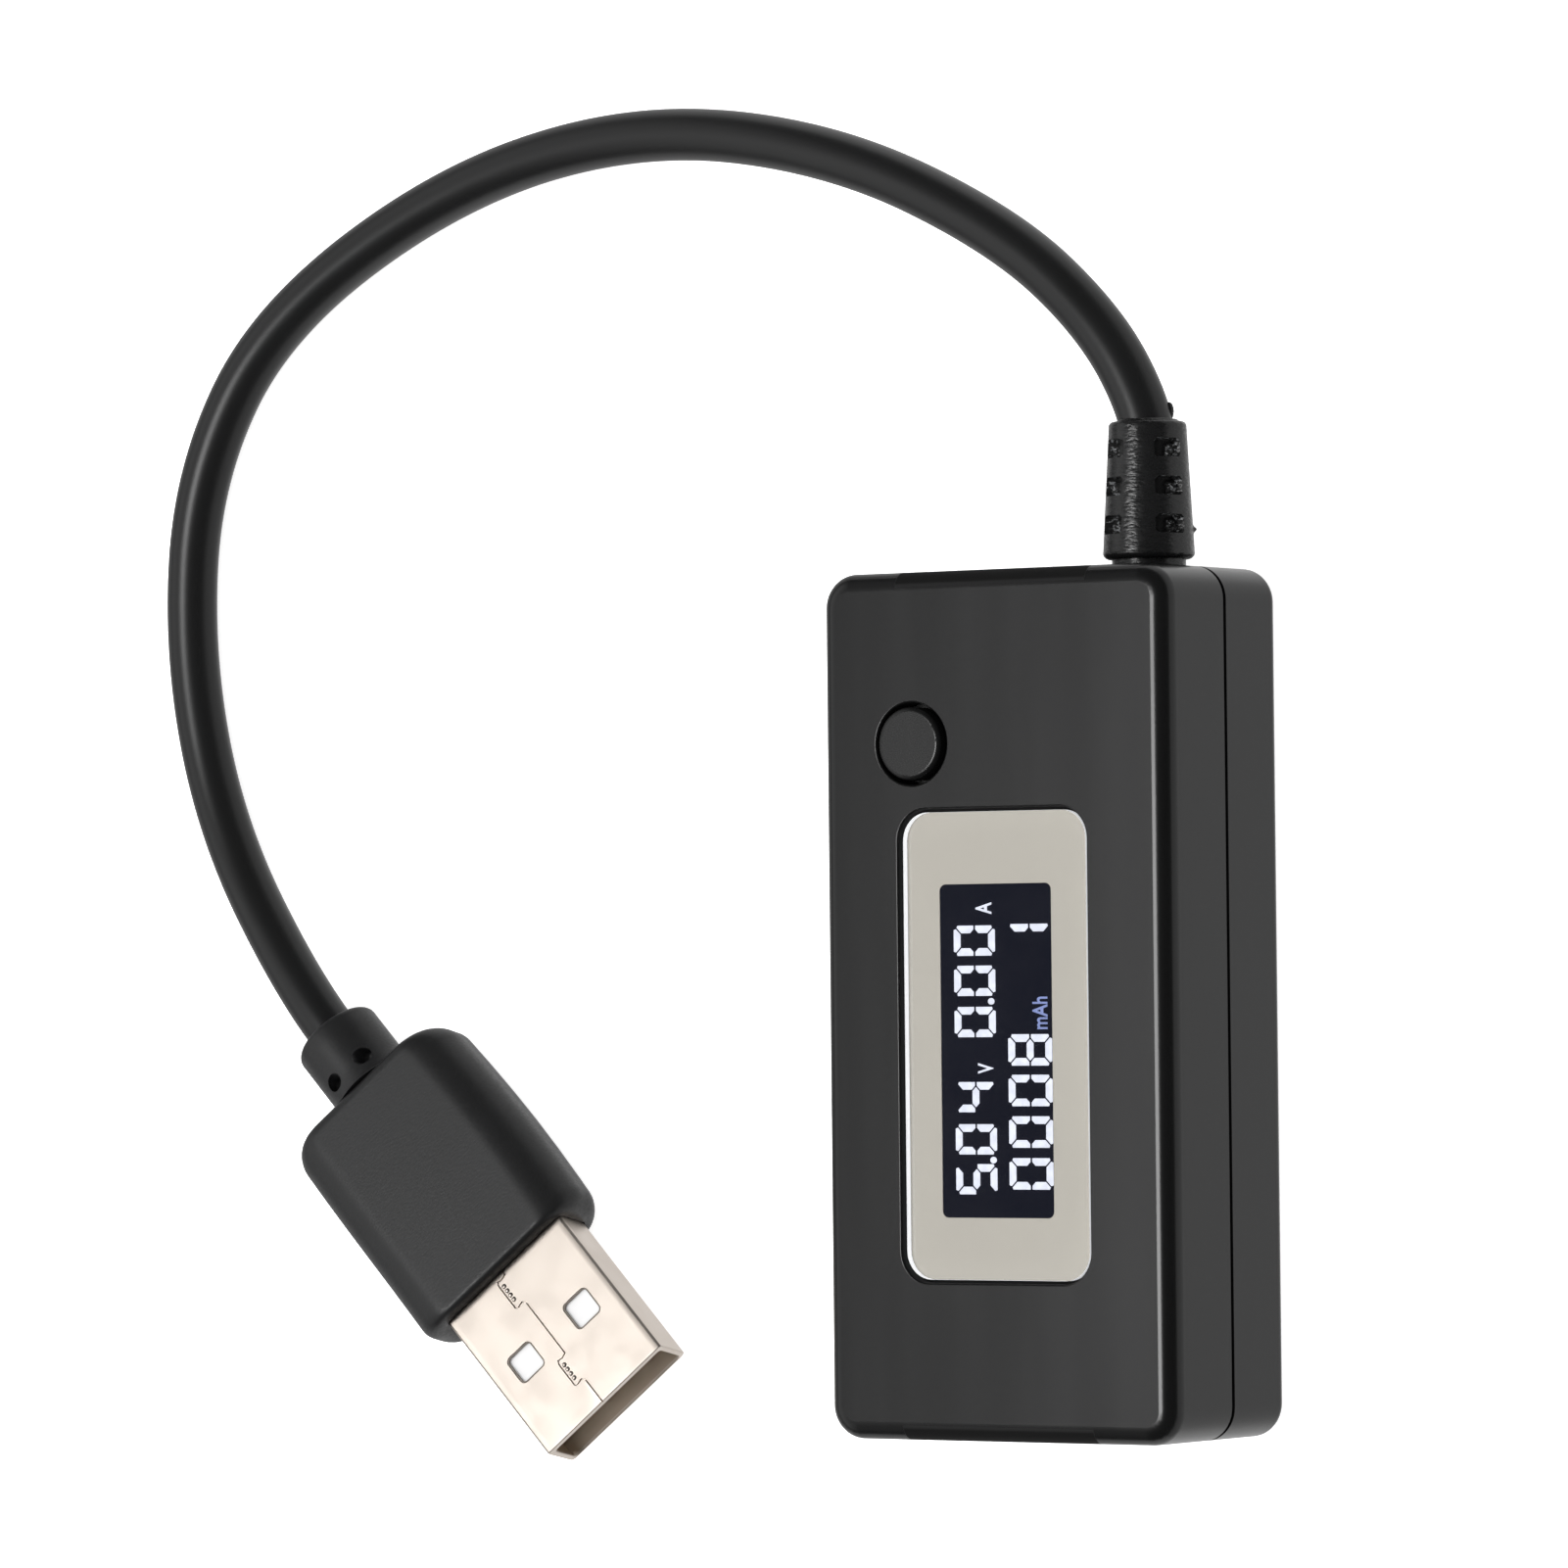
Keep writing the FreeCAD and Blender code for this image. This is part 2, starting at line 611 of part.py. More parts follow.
def make_display():
    """The display cell with its films, its lit segments, the light behind it and its pins."""
    front_width = "lcd_width - lcd_ledge"
    front_x = "lcd_x - lcd_ledge / 2"
    plate("lcd_front_polarizer", front_width + " - 0.6", "lcd_length - 0.6", "glass_corner",
          "polarizer_thick", front_x, "lcd_y", GLASS_TOP + " - polarizer_thick")
    plate("lcd_front_glass", front_width, "lcd_length", "glass_corner", "glass_thick",
          front_x, "lcd_y", CELL_TOP)
    seal = plate("lcd_seal", front_width, "lcd_length", "glass_corner", "cell_gap",
                 front_x, "lcd_y", CELL_BOTTOM)
    inner = flat_sketch(seal, CELL_TOP, front_x, "lcd_y")
    rounded_rectangle(inner, front_width + " - 1.4", "lcd_length - 1.4", "glass_corner")
    pocket(seal, inner, "cell_gap + 0.1")
    plate("lcd_rear_glass", "lcd_width", "lcd_length", "glass_corner", "glass_thick",
          "lcd_x", "lcd_y", CELL_BOTTOM + " - glass_thick")
    plate("lcd_rear_polarizer", front_width + " - 0.6", "lcd_length - 0.6", "glass_corner",
          "polarizer_thick", front_x, "lcd_y", LIGHT_TOP)
    make_segments()
    guide_length = "lcd_length - 1.4"
    plate("backlight_guide", front_width, guide_length, "guide_corner", "light_depth",
          front_x, "lcd_y - 0.7", LIGHT_TOP + " - light_depth")
    lamps = [box(f"Lamp{i}", ("3", "0.9", "1.4"),
                 (f"{front_x} + {x} - 1.5", "lcd_y + lcd_length / 2 - 1.4", LIGHT_TOP + " - 2.2"))
             for i, x in enumerate((-3.2, 3.2), start=1)]
    keep(group("Lamps", lamps), "backlight_leds")
    carrier_top = f"({LIGHT_TOP}) - light_depth"
    carrier = plate("lcd_carrier", front_width, "lcd_length", "guide_corner",
                    f"{carrier_top} - board_top", front_x, "lcd_y", "board_top")
    room = flat_sketch(carrier, carrier_top, front_x, "lcd_y")
    rounded_rectangle(room, front_width + " - 2.4", "lcd_length - 2.4", "guide_corner")
    pocket(carrier, room, f"{carrier_top} - board_top + 0.1")
    pins = [box(f"DisplayPin{i}", ("pin_thick", "pin_wide",
                                   CELL_BOTTOM + " - glass_thick - board_top"),
                ("lcd_x + lcd_width / 2 - pin_thick - 0.1",
                 f"lcd_y + ({i} - 7.5) * pin_pitch - pin_wide / 2", "board_top"))
            for i in range(1, 15)]
    keep(group("DisplayPins", pins), "lcd_pins")


def make_segments():
    """The lit segments of both rows of digits, each its own thin solid."""
    cell = doc.getObject("LcdSeal").Shape.BoundBox
    z = cell.ZMin + (size("cell_gap") - size("segment_thick")) / 2
    bars = []
    for head, start, text in READINGS:
        bars.extend(digit_bars(head, start, text, z))
    item = doc.addObject("Part::Feature", "Segments")
    item.Shape = Part.makeCompound(bars)
    keep(item, "lcd_segments")


# ---------------------------------------------------------------- button and switch

def make_button_cap():
    """The round cap with its retaining flange under the front wall."""
    body = new_body("button_cap")
    flange_top = "case_depth - front_wall - flange_gap"
    flange = flat_sketch(body, flange_top + " - flange_thick", "button_x", "button_y")
    circle(flange, "flange_radius")
    pad(body, flange, "flange_thick")
    stem = flat_sketch(body, flange_top, "button_x", "button_y")
    circle(stem, "cap_radius")
    pad(body, stem, "front_wall + flange_gap + cap_proud")
    round_edges(body, "cap_round", at_height(size("case_depth") + size("cap_proud")))


def make_switch():
    """The tactile switch: housing, snap dome, plunger, cover plate and four feet."""
    centre = ("button_x", "button_y")
    corner = ("button_x - switch_side / 2", "button_y - switch_side / 2")
    top = "board_top + switch_base_height"
    block = box("SwitchBlock", ("switch_side", "switch_side", "switch_base_height"),
                (*corner, "board_top"))
    cavity = cylinder("SwitchCavity", "cavity_radius", "cavity_depth + 0.1",
                      (*centre, top + " - cavity_depth"))
    keep(cut("SwitchBase", block, cavity), "switch_base")
    lid = box("SwitchLid", ("switch_side", "switch_side", "cover_thick"), (*corner, top))
    lid_hole = cylinder("SwitchLidHole", "cover_hole", "cover_thick + 0.2", (*centre, top + " - 0.1"))
    keep(cut("SwitchCover", lid, lid_hole), "switch_cover")
    plunger_top = "case_depth - front_wall - flange_gap - flange_thick - cap_gap"
    dome_top = top + " - cavity_depth + dome_rise"
    shaft = cylinder("PlungerShaft", "plunger_radius", f"({plunger_top}) - ({top} - 0.02)",
                     (*centre, top + " - 0.02"))
    collar = cylinder("PlungerCollar", "collar_radius", "collar_thick",
                      (*centre, top + " - 0.02 - collar_thick"))
    nub_height = f"({top} - 0.02 - collar_thick) - ({dome_top} + 0.01)"
    nub = cylinder("PlungerNub", "dome_radius / 3", nub_height, (*centre, dome_top + " + 0.01"))
    keep(fuse("SwitchPlunger", [shaft, collar, nub]), "switch_plunger")
    make_dome()
    feet = []
    for side in (-1, 1):
        for row in (-1, 1):
            x = "button_x + switch_side / 2" if side > 0 else "button_x - switch_side / 2 - foot_reach"
            feet.append(box(f"SwitchFoot{len(feet) + 1}", ("foot_reach", "foot_wide", "contact_thick"),
                            (x, f"button_y + {row} * foot_row - foot_wide / 2", "board_top")))
    keep(group("SwitchFeet", feet), "switch_terminals")


def make_dome():
    """The snap dome, a shallow cap of a thin sphere."""
    radius = size("dome_radius")
    rise = size("dome_rise")
    ball = (radius ** 2 + rise ** 2) / (2 * rise)
    floor = size("board_top") + size("switch_base_height") - size("cavity_depth")
    centre = Vector(size("button_x"), size("button_y"), floor + rise - ball)
    skin = Part.makeSphere(ball, centre).cut(Part.makeSphere(ball - size("dome_thick"), centre))
    block = Part.makeBox(4 * radius, 4 * radius, 2 * rise,
                         Vector(centre.x - 2 * radius, centre.y - 2 * radius, floor))
    item = doc.addObject("Part::Feature", "Dome")
    item.Shape = skin.common(block)
    keep(item, "switch_dome")


# ---------------------------------------------------------------- board and its parts

def make_board():
    """The board, notched round the socket and drilled for the posts' pegs."""
    body = new_body("circuit_board")
    outline = flat_sketch(body, "board_top - board_thick", "0", "(board_start + board_end) / 2")
    rounded_rectangle(outline, "board_width", "board_end - board_start", "board_corner")
    pad(body, outline, "board_thick")
    notch = flat_sketch(body, "board_top", "0", "(board_start - 1 + notch_end) / 2")
    rounded_rectangle(notch, "notch_width", "notch_end - board_start + 1", "board_corner")
    pocket(body, notch, "board_thick + 0.1")
    for x in ("-post_x", "post_x"):
        for y in ("post_near", "post_far"):
            hole = flat_sketch(body, "board_top", x, y)
            circle(hole, "peg_radius + peg_gap")
            pocket(body, hole, "board_thick + 0.1")


UNDER = "board_top - board_thick"


CHIP_SHADOW = 0.1
# boxes of the small parts under the board: the corner across and along the board, the width, length
# and height, and the gap to the board
REGULATOR_BOXES = [
    (-12.0, 2.0, 4.5, 2.5, 1.5, 0.0),
    (-10.65, 4.5, 1.8, 1.0, 0.4, 0.0),
    (-11.45, 1.0, 0.4, 1.0, 0.4, 0.0),
    (-9.95, 1.0, 0.4, 1.0, 0.4, 0.0),
    (-8.45, 1.0, 0.4, 1.0, 0.4, 0.0),
]
SHUNT_BOXES = [
    (5.5, -14.0, 4.4, 3.2, 0.6, 0.05),
    (4.5, -14.0, 1.0, 3.2, 0.65, 0.0),
    (9.9, -14.0, 1.0, 3.2, 0.65, 0.0),
]
CAPACITOR_BOXES = [(x, y, 1.6, 3.2, 1.2, 0.0) for x, y in ((-10, -6), (-10, -11), (8.6, 6), (8.6, 16))]
RESISTOR_BOXES = [(x, y, 0.8, 1.6, 0.45, 0.0) for y in (10, 13) for x in (3.2, 4.7, 6.2, 7.7)]


def make_chip(node, x, y, width, length, height, leads, pitch):
    """A flat chip under the board with its leads along both long sides."""
    name = node.title().replace("_", "")
    parts = [box(name + "Case", (width, length, height - CHIP_SHADOW),
                 (x - width / 2, y - length / 2, f"{UNDER} - {height}"))]
    for side in (-1, 1):
        for index in range(leads):
            start = f"{x + width / 2}" if side > 0 else f"{x - width / 2} - lead_reach"
            along = f"{y + (index - (leads - 1) / 2) * pitch} - lead_wide / 2"
            parts.append(box(f"{name}Lead{len(parts)}", ("lead_reach", "lead_wide", "contact_thick"),
                             (start, along, UNDER + " - contact_thick")))
    keep(group(name, parts), node)


def make_small_part(node, boxes):
    """One node of plain boxes that hang under the board."""
    name = node.title().replace("_", "")
    parts = [box(f"{name}Box{i}", (width, length, height), (x, y, f"{UNDER} - {gap + height}"))
             for i, (x, y, width, length, height, gap) in enumerate(boxes, start=1)]
    keep(group(name, parts), node)


# ---------------------------------------------------------------- socket

def make_socket():
    """The USB-A socket: metal shell with tabs, moulded tongue and four contacts."""
    mouth = "-case_length / 2 + socket_sunk"
    shell = doc.addObject("PartDesign::Body", "SocketTube")
    outer = upright_sketch(shell, mouth, "0", "part_line")
    rounded_rectangle(outer, "socket_width", "socket_height", "socket_corner")
    rounded_rectangle(outer, "socket_width - 2 * sheet_metal", "socket_height - 2 * sheet_metal",
                      "socket_corner - sheet_metal")
    pad(shell, outer, "socket_depth", back=True)
    tabs = []
    for side in (-1, 1):
        for y in ("tab_near", "tab_far"):
            x = "socket_width / 2 - tab_sunk" if side > 0 else "-socket_width / 2 + tab_sunk - tab_reach"
            tabs.append(box(f"SocketTab{len(tabs) + 1}", ("tab_reach", "tab_wide", "sheet_metal"),
                            (x, y, "board_top")))
    keep(fuse("SocketShell", [shell, *tabs]), "socket_shell")
    back = mouth + " + socket_depth - block_depth"
    tongue_z = "part_line + tongue_up - tongue_thick / 2"
    block = box("SocketBlock", ("socket_width - 2 * sheet_metal - 2 * block_side", "block_depth",
                                "socket_height - 2 * sheet_metal - 2 * block_gap"),
                ("-socket_width / 2 + sheet_metal + block_side", back,
                 "part_line - socket_height / 2 + sheet_metal + block_gap"))
    blade = box("SocketBlade", ("tongue_width", "socket_depth - block_depth - tongue_inset",
                                "tongue_thick"),
                ("-tongue_width / 2", mouth + " + tongue_inset", tongue_z))
    front = mouth + " + tongue_inset + 0.8"
    rear = mouth + " + socket_depth + 0.8"
    strips = []
    for i, place in enumerate(CONTACT_PLACES, start=1):
        flat = contact_strip(f"SocketFlat{i}", place, (f"{rear} - ({front})", "contact_thick"),
                             front, tongue_z)
        rise = contact_strip(f"SocketRise{i}", place,
                             ("contact_thick", f"{tongue_z} - ({UNDER}) + 2 * contact_thick"),
                             rear, UNDER + " - contact_thick")
        foot = contact_strip(f"SocketFoot{i}", place, ("1.8", "contact_thick"), rear,
                             UNDER + " - contact_thick")
        strips.append(fuse(f"SocketContact{i}", [flat, rise, foot]))
    contacts = keep(group("SocketContacts", strips), "socket_contacts")
    moulding = fuse("SocketMoulding", [block, blade])
    keep(cut("SocketTongue", moulding, contacts), "socket_tongue")


# ---------------------------------------------------------------- cord, boot and wires

def round_route(corners, share):
    """Straight runs joined by tangent arcs, and the arcs' radii."""
    edges = []
    radii = []
    here = corners[0]
    for before, corner, after in zip(corners, corners[1:], corners[2:]):
        back = before - corner
        onward = after - corner
        half_turn = (math.pi - back.getAngle(onward)) / 2
        reach = share * min(back.Length, onward.Length)
        radii.append(reach / math.tan(half_turn))
        back.normalize()
        onward.normalize()
        start = corner + back * reach
        end = corner + onward * reach
        bulge = (back + onward).normalize() * (radii[-1] / math.cos(half_turn) - radii[-1])
        edges.append(Part.LineSegment(here, start).toShape())
        edges.append(Part.Arc(start, corner + bulge, end).toShape())
        here = end
    edges.append(Part.LineSegment(here, corners[-1]).toShape())
    return Part.Wire(edges), radii


def tube(corners, radius, share):
    """A round tube along a rounded route, with the route's length and radii."""
    path, radii = round_route(corners, share)
    along = (corners[1] - corners[0]).normalize()
    section = Part.Wire(Part.makeCircle(radius, corners[0], along))
    return path.makePipeShell([section], True, True), path.Length, radii


def plug_placement():
    """Where the plug lies: its shell along its own +Y, its seam side along its own +Z."""
    turn = FreeCAD.Rotation(Vector(0, 0, 1), size("plug_heading"))
    turn = turn.multiply(FreeCAD.Rotation(Vector(1, 0, 0), size("plug_pitch")))
    turn = turn.multiply(FreeCAD.Rotation(Vector(0, 1, 0), size("plug_roll")))
    return FreeCAD.Placement(Vector(size("plug_x"), size("plug_y"), size("plug_z")), turn)


def make_cord():
    """The cord from the boot's end to the plug's neck."""
    back = -size("mould_length") - size("neck_length")
    neck = plug_placement().multVec(Vector(size("neck_shift"), back, 0))
    before = plug_placement().multVec(Vector(size("neck_shift"), back - LAST_RUN, 0))
    corners = [Vector(*point) for point in ROUTE] + [before, neck]
    shape, length, radii = tube(corners, size("cord_radius"), ARC_SHARE)
    item = doc.addObject("Part::Feature", "CordTube")
    item.Shape = shape
    keep(item, "cord")
    section = math.pi * size("cord_radius") ** 2
    print("cord corners", [tuple(round(c, 2) for c in corner) for corner in corners])
    print("cord length", round(length, 1), "radii", [round(radius, 1) for radius in radii])
    print("cord volume over section times length", round(shape.Volume / (section * length), 4))


def make_boot():
    """The slotted strain relief with a neck in the wall and a flange inside it."""
    along = Vector(0, 1, 0)
    cone = doc.addObject("Part::Cone", "BootCone")
    bind(cone, "Radius1", "boot_big")
    bind(cone, "Radius2", "boot_small")
    bind(cone, "Height", "boot_end - boot_start")
    cone.Placement = FreeCAD.Placement(Vector(), FreeCAD.Rotation(Vector(0, 0, 1), along))
    bind_base(cone, ("cord_x", "boot_start", "part_line"))
    inner_face = "case_length / 2 - wall"
    neck = cylinder("BootNeck", "boot_neck", f"boot_start - ({inner_face})",
                    ("cord_x", inner_face, "part_line"), along)
    flange = cylinder("BootFlange", "boot_flange", "boot_flange_thick",
                      ("cord_x", inner_face + " - boot_flange_thick - boot_fit", "part_line"), along)
    joint = cylinder("BootJoint", "boot_neck", "2 * boot_fit",
                     ("cord_x", inner_face + " - 2 * boot_fit", "part_line"), along)
    solid = fuse("BootSolid", [cone, neck, flange, joint])
    bore = cylinder("BootBore", "cord_radius + boot_bore_gap", "boot_end - tail_start",
                    ("cord_x", "tail_start + 1", "part_line"), along)
    bend = doc.addObject("Part::Feature", "BootBend")
    start = [Vector(*point) for point in ROUTE[:4]]
    bend.Shape = tube(start, size("cord_radius") + size("boot_bore_gap"), ARC_SHARE)[0]
    tools = [bore, bend]
    for row in range(3):
        y = f"slot_first - slot_wide / 2 + {row} * slot_pitch"
        for quarter in range(4):
            wedge = cylinder(f"SlotWedge{row}{quarter}", "boot_big + 1", "slot_wide",
                             ("cord_x", y, "part_line"), along)
            bind(wedge, "Angle", "slot_angle")
            middle = size("slot_turn") + quarter * 90
            turn = FreeCAD.Rotation(Vector(0, 0, 1), middle - size("slot_angle") / 2 - 90)
            wedge.Placement.Rotation = wedge.Placement.Rotation.multiply(turn)
            floor = cylinder(f"SlotFloor{row}{quarter}", "slot_floor", "slot_wide",
                             ("cord_x", y, "part_line"), along)
            tools.append(cut(f"Slot{row}{quarter}", wedge, floor))
    keep(cut("Boot", solid, fuse("BootTools", tools)), "cord_boot")
    keep(cylinder("CordTail", "cord_radius", "tail_end - tail_start",
                  ("cord_x", "tail_start", "part_line"), along), "cord_tail")


def make_wires():
    """The four insulated wires from the jacket's end to their pads, and the solder on the pads."""
    lift = size("board_top") + size("wire_radius") + 0.02
    offset = size("wire_offset")
    places = [("wire_red", -1, -1), ("wire_white", -1, 1), ("wire_green", 1, 1), ("wire_black", 1, -1)]
    joints = []
    for index, (node, side, up) in enumerate(places):
        x = size("cord_x") + side * offset
        z = size("part_line") + up * offset
        pad_x = size("cord_x") - 1.2 + (index - 1.5) * size("wire_pitch")
        corners = [Vector(x, size("tail_start"), z), Vector(x, size("tail_start") - 0.8, z),
                   Vector(pad_x, size("board_end") + 0.9, lift), Vector(pad_x, size("wire_end"), lift)]
        item = doc.addObject("Part::Feature", node.title().replace("_", ""))
        item.Shape = tube(corners, size("wire_radius"), ARC_SHARE)[0]
        keep(item, node)
        blob = doc.addObject("Part::Cone", f"SolderBlob{index + 1}")
        blob.Radius1 = 0.85
        blob.Radius2 = 0.35
        blob.Height = 0.8
        bind_base(blob, (pad_x, "wire_end - 0.9", "board_top"))
        joints.append(blob)
    keep(group("SolderJoints", joints), "solder_joints")


# ---------------------------------------------------------------- plug

def make_plug_shell():
    """The folded metal shell with two square latch holes in each broad side."""
    body = new_body("plug_shell")
    outline = upright_sketch(body, "-plug_buried")
    rounded_rectangle(outline, "plug_width", "plug_height", "plug_corner")
    rounded_rectangle(outline, "plug_width - 2 * sheet_metal", "plug_height - 2 * sheet_metal",
                      "plug_corner - sheet_metal")
    pad(body, outline, "plug_buried + plug_exposed", back=True)
    for x in ("-latch_x", "latch_x"):
        hole = flat_sketch(body, "plug_height / 2", x, "latch_y")
        rounded_rectangle(hole, "latch_side", "latch_side", "latch_corner")
        pocket(body, hole, "sheet_metal + 0.1")
        lower = flat_sketch(body, "-plug_height / 2", x, "latch_y")
        rounded_rectangle(lower, "latch_side", "latch_side", "latch_corner")
        pocket(body, lower, "sheet_metal + 0.1", forward=True)
    return body


def make_plug_core():
    """The white contact carrier under the seam side, and its four contacts."""
    under = "plug_height / 2 - sheet_metal - slab_thick"
    length = "plug_exposed + plug_buried - slab_inset - 0.5"
    slab = box("PlugSlab", ("slab_width", length, "slab_thick"),
               ("-slab_width / 2", "0.5 - plug_buried", under))
    strips = [contact_strip(f"PlugStrip{i}", place, (length + " - 1.2", "contact_thick"),
                            "0.5 - plug_buried", under)
              for i, place in enumerate(CONTACT_PLACES, start=1)]
    contacts = keep(group("PlugContacts", strips), "plug_contacts")
    insulator = keep(cut("PlugInsulator", slab, group("PlugGrooves", strips)), "plug_insulator")
    return [contacts, insulator]


def make_overmould():
    """The moulded grip and its neck, with the shell's buried end cut out of it."""
    body = new_body("plug_overmould")
    section = upright_sketch(body, "-mould_length", "mould_shift")
    rounded_rectangle(section, "mould_width", "mould_thick", "mould_side")
    pad(body, section, "mould_length", back=True)
    round_edges(body, "mould_back", at_length(-size("mould_length")))
    round_edges(body, "mould_front", at_length(0.0))
    neck = upright_sketch(body, "-mould_length - neck_length", "neck_shift")
    circle(neck, "neck_radius")
    pad(body, neck, "neck_length + 1", back=True)
    round_edges(body, "neck_round", at_length(-size("mould_length") - size("neck_length")))
    room = upright_sketch(body, "-plug_buried")
    rounded_rectangle(room, "plug_width", "plug_height", "plug_corner")
    pocket(body, room, "plug_buried + 1")
    for x in ("neck_shift - neck_hole_x", "neck_shift + neck_hole_x"):
        pit = flat_sketch(body, "neck_radius + 0.5", x, "-mould_length - neck_hole_y")
        circle(pit, "neck_hole")
        pocket(body, pit, "neck_hole_deep + 0.5")
    return body


def make_plug():
    """The plug's pieces, made along Y and then laid where the plug lies."""
    pieces = [make_plug_shell(), *make_plug_core(), make_overmould()]
    doc.recompute()
    for piece in pieces:
        piece.Placement = plug_placement()


# ---------------------------------------------------------------- build, check and write

def check_document():
    """Stop if any object failed or any node's shape is empty or bad."""
    for item in doc.Objects:
        if "Invalid" in item.State or "Error" in item.State:
            raise RuntimeError(f"{item.Name} ({item.Label}) is {item.State}")
    for item in NODES:
        if item.Shape.isNull() or not item.Shape.isValid() or not item.Shape.Solids:
            raise RuntimeError(f"{item.Label} has no valid solid")


def main():
    """Build every sub-part, check them and write one file for each."""
    make_back_shell()
    make_front_shell()
    make_lens()
    make_display()
    make_button_cap()
    make_switch()
    make_board()
    make_chip("mcu_chip", -1.5, -4.0, 7.5, 12.8, 2.3, 10, 1.27)
    make_chip("memory_chip", -1.5, 8.5, 3.9, 4.9, 1.5, 4, 1.27)
    make_small_part("voltage_regulator", REGULATOR_BOXES)
    make_small_part("shunt_resistor", SHUNT_BOXES)
    make_small_part("chip_capacitors", CAPACITOR_BOXES)
    make_small_part("chip_resistors", RESISTOR_BOXES)
    make_socket()
    make_cord()
    make_boot()
    make_wires()
    make_plug()
    doc.recompute()
    check_document()
    os.makedirs("parts", exist_ok=True)
    for item in NODES:
        item.Shape.exportStep(f"parts/{item.Label}.step")
    print(len(NODES), "nodes written")


main()
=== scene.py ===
"""Looks of the USB power meter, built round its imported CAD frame.

Everything is in metres in the CAD's own frame: X across the display, Y along the case with the cord
at +Y, and +Z out of the display. The case lies on its back on the floor.
"""

import math
import bmesh
import bpy
from mathutils import Matrix, Quaternion, Vector


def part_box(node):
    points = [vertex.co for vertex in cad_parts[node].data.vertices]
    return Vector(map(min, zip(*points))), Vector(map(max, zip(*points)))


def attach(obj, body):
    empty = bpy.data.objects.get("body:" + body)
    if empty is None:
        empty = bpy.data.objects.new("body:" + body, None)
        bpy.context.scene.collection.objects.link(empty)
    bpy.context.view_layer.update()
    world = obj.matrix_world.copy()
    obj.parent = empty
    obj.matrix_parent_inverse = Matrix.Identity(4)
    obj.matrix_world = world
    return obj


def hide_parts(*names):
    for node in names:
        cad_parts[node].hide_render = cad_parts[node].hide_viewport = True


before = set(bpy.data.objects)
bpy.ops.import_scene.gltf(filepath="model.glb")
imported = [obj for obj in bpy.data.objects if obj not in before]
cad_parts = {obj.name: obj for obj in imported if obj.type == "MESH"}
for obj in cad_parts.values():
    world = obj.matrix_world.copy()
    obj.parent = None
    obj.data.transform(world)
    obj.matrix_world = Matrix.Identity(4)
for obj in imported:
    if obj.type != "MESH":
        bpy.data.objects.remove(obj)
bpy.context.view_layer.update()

MM = 0.001


def mm(*numbers):
    """Millimetres as a vector in metres."""
    return Vector(numbers) * MM


# ---------------------------------------------------------------- camera

CAMERA_PLACE = mm(341.97, 1.62, 556.77)
CAMERA_AIM = mm(-28.97, 17.01, 0.0)
CAMERA_UP = Vector((0.0212, 0.9997, 0.0135))
CAMERA_LENS = 200.64
CAMERA_SENSOR = 36.0


def make_camera():
    """A long lens that looks down at the case from its +X side."""
    data = bpy.data.cameras.new("camera")
    data.lens = CAMERA_LENS
    data.sensor_width = CAMERA_SENSOR
    data.clip_start = 0.05
    data.clip_end = 20.0
    camera = bpy.data.objects.new("camera", data)
    bpy.context.scene.collection.objects.link(camera)
    view = (CAMERA_AIM - CAMERA_PLACE).normalized()
    right = view.cross(CAMERA_UP).normalized()
    up = right.cross(view)
    turn = Matrix((right, up, -view)).transposed().to_4x4()
    camera.matrix_world = Matrix.Translation(CAMERA_PLACE) @ turn
    bpy.context.scene.camera = camera


make_camera()

# ---------------------------------------------------------------- the cord

CORD_RADIUS = 2.0 * MM
CORD_ROUTE = [
    (8.6, 41.4, 7.7),
    (8.6, 43.4, 7.7),
    (4.6, 50.25, 7.6),
    (-4.05, 57.55, 7.0),
    (-20.0, 64.8, 5.6),
    (-39.0, 67.8, 3.6),
    (-58.0, 64.6, 2.3),
    (-76.0, 54.9, 2.03),
    (-83.5, 43.0, 2.03),
    (-84.7, 28.9, 2.03),
    (-81.5, 14.6, 2.2),
    (-71.97, 1.77, 4.67),
    (-68.35, -1.97, 4.78),
]


def make_cord():
    """The jacket, one round sweep along the route's own spline."""
    curve = bpy.data.curves.new("cord_jacket", "CURVE")
    curve.dimensions = "3D"
    spline = curve.splines.new("NURBS")
    spline.points.add(len(CORD_ROUTE) - 1)
    for point, place in zip(spline.points, CORD_ROUTE):
        point.co = (*mm(*place), 1)
        point.radius = CORD_RADIUS
    spline.order_u = 3
    spline.use_endpoint_u = True
    curve.resolution_u = 24
    curve.bevel_depth = 1.0
    curve.bevel_resolution = 12
    curve.use_fill_caps = True
    jacket = bpy.data.objects.new("cord_jacket", curve)
    bpy.context.scene.collection.objects.link(jacket)
    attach(jacket, "case")
    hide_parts("cord")
    return jacket


cord = make_cord()

# ---------------------------------------------------------------- floor and light

GLOW = 0.85
TABLE = 0.62
TABLE_NEAR = 0.92
FLOOR_GLOW = 0.75


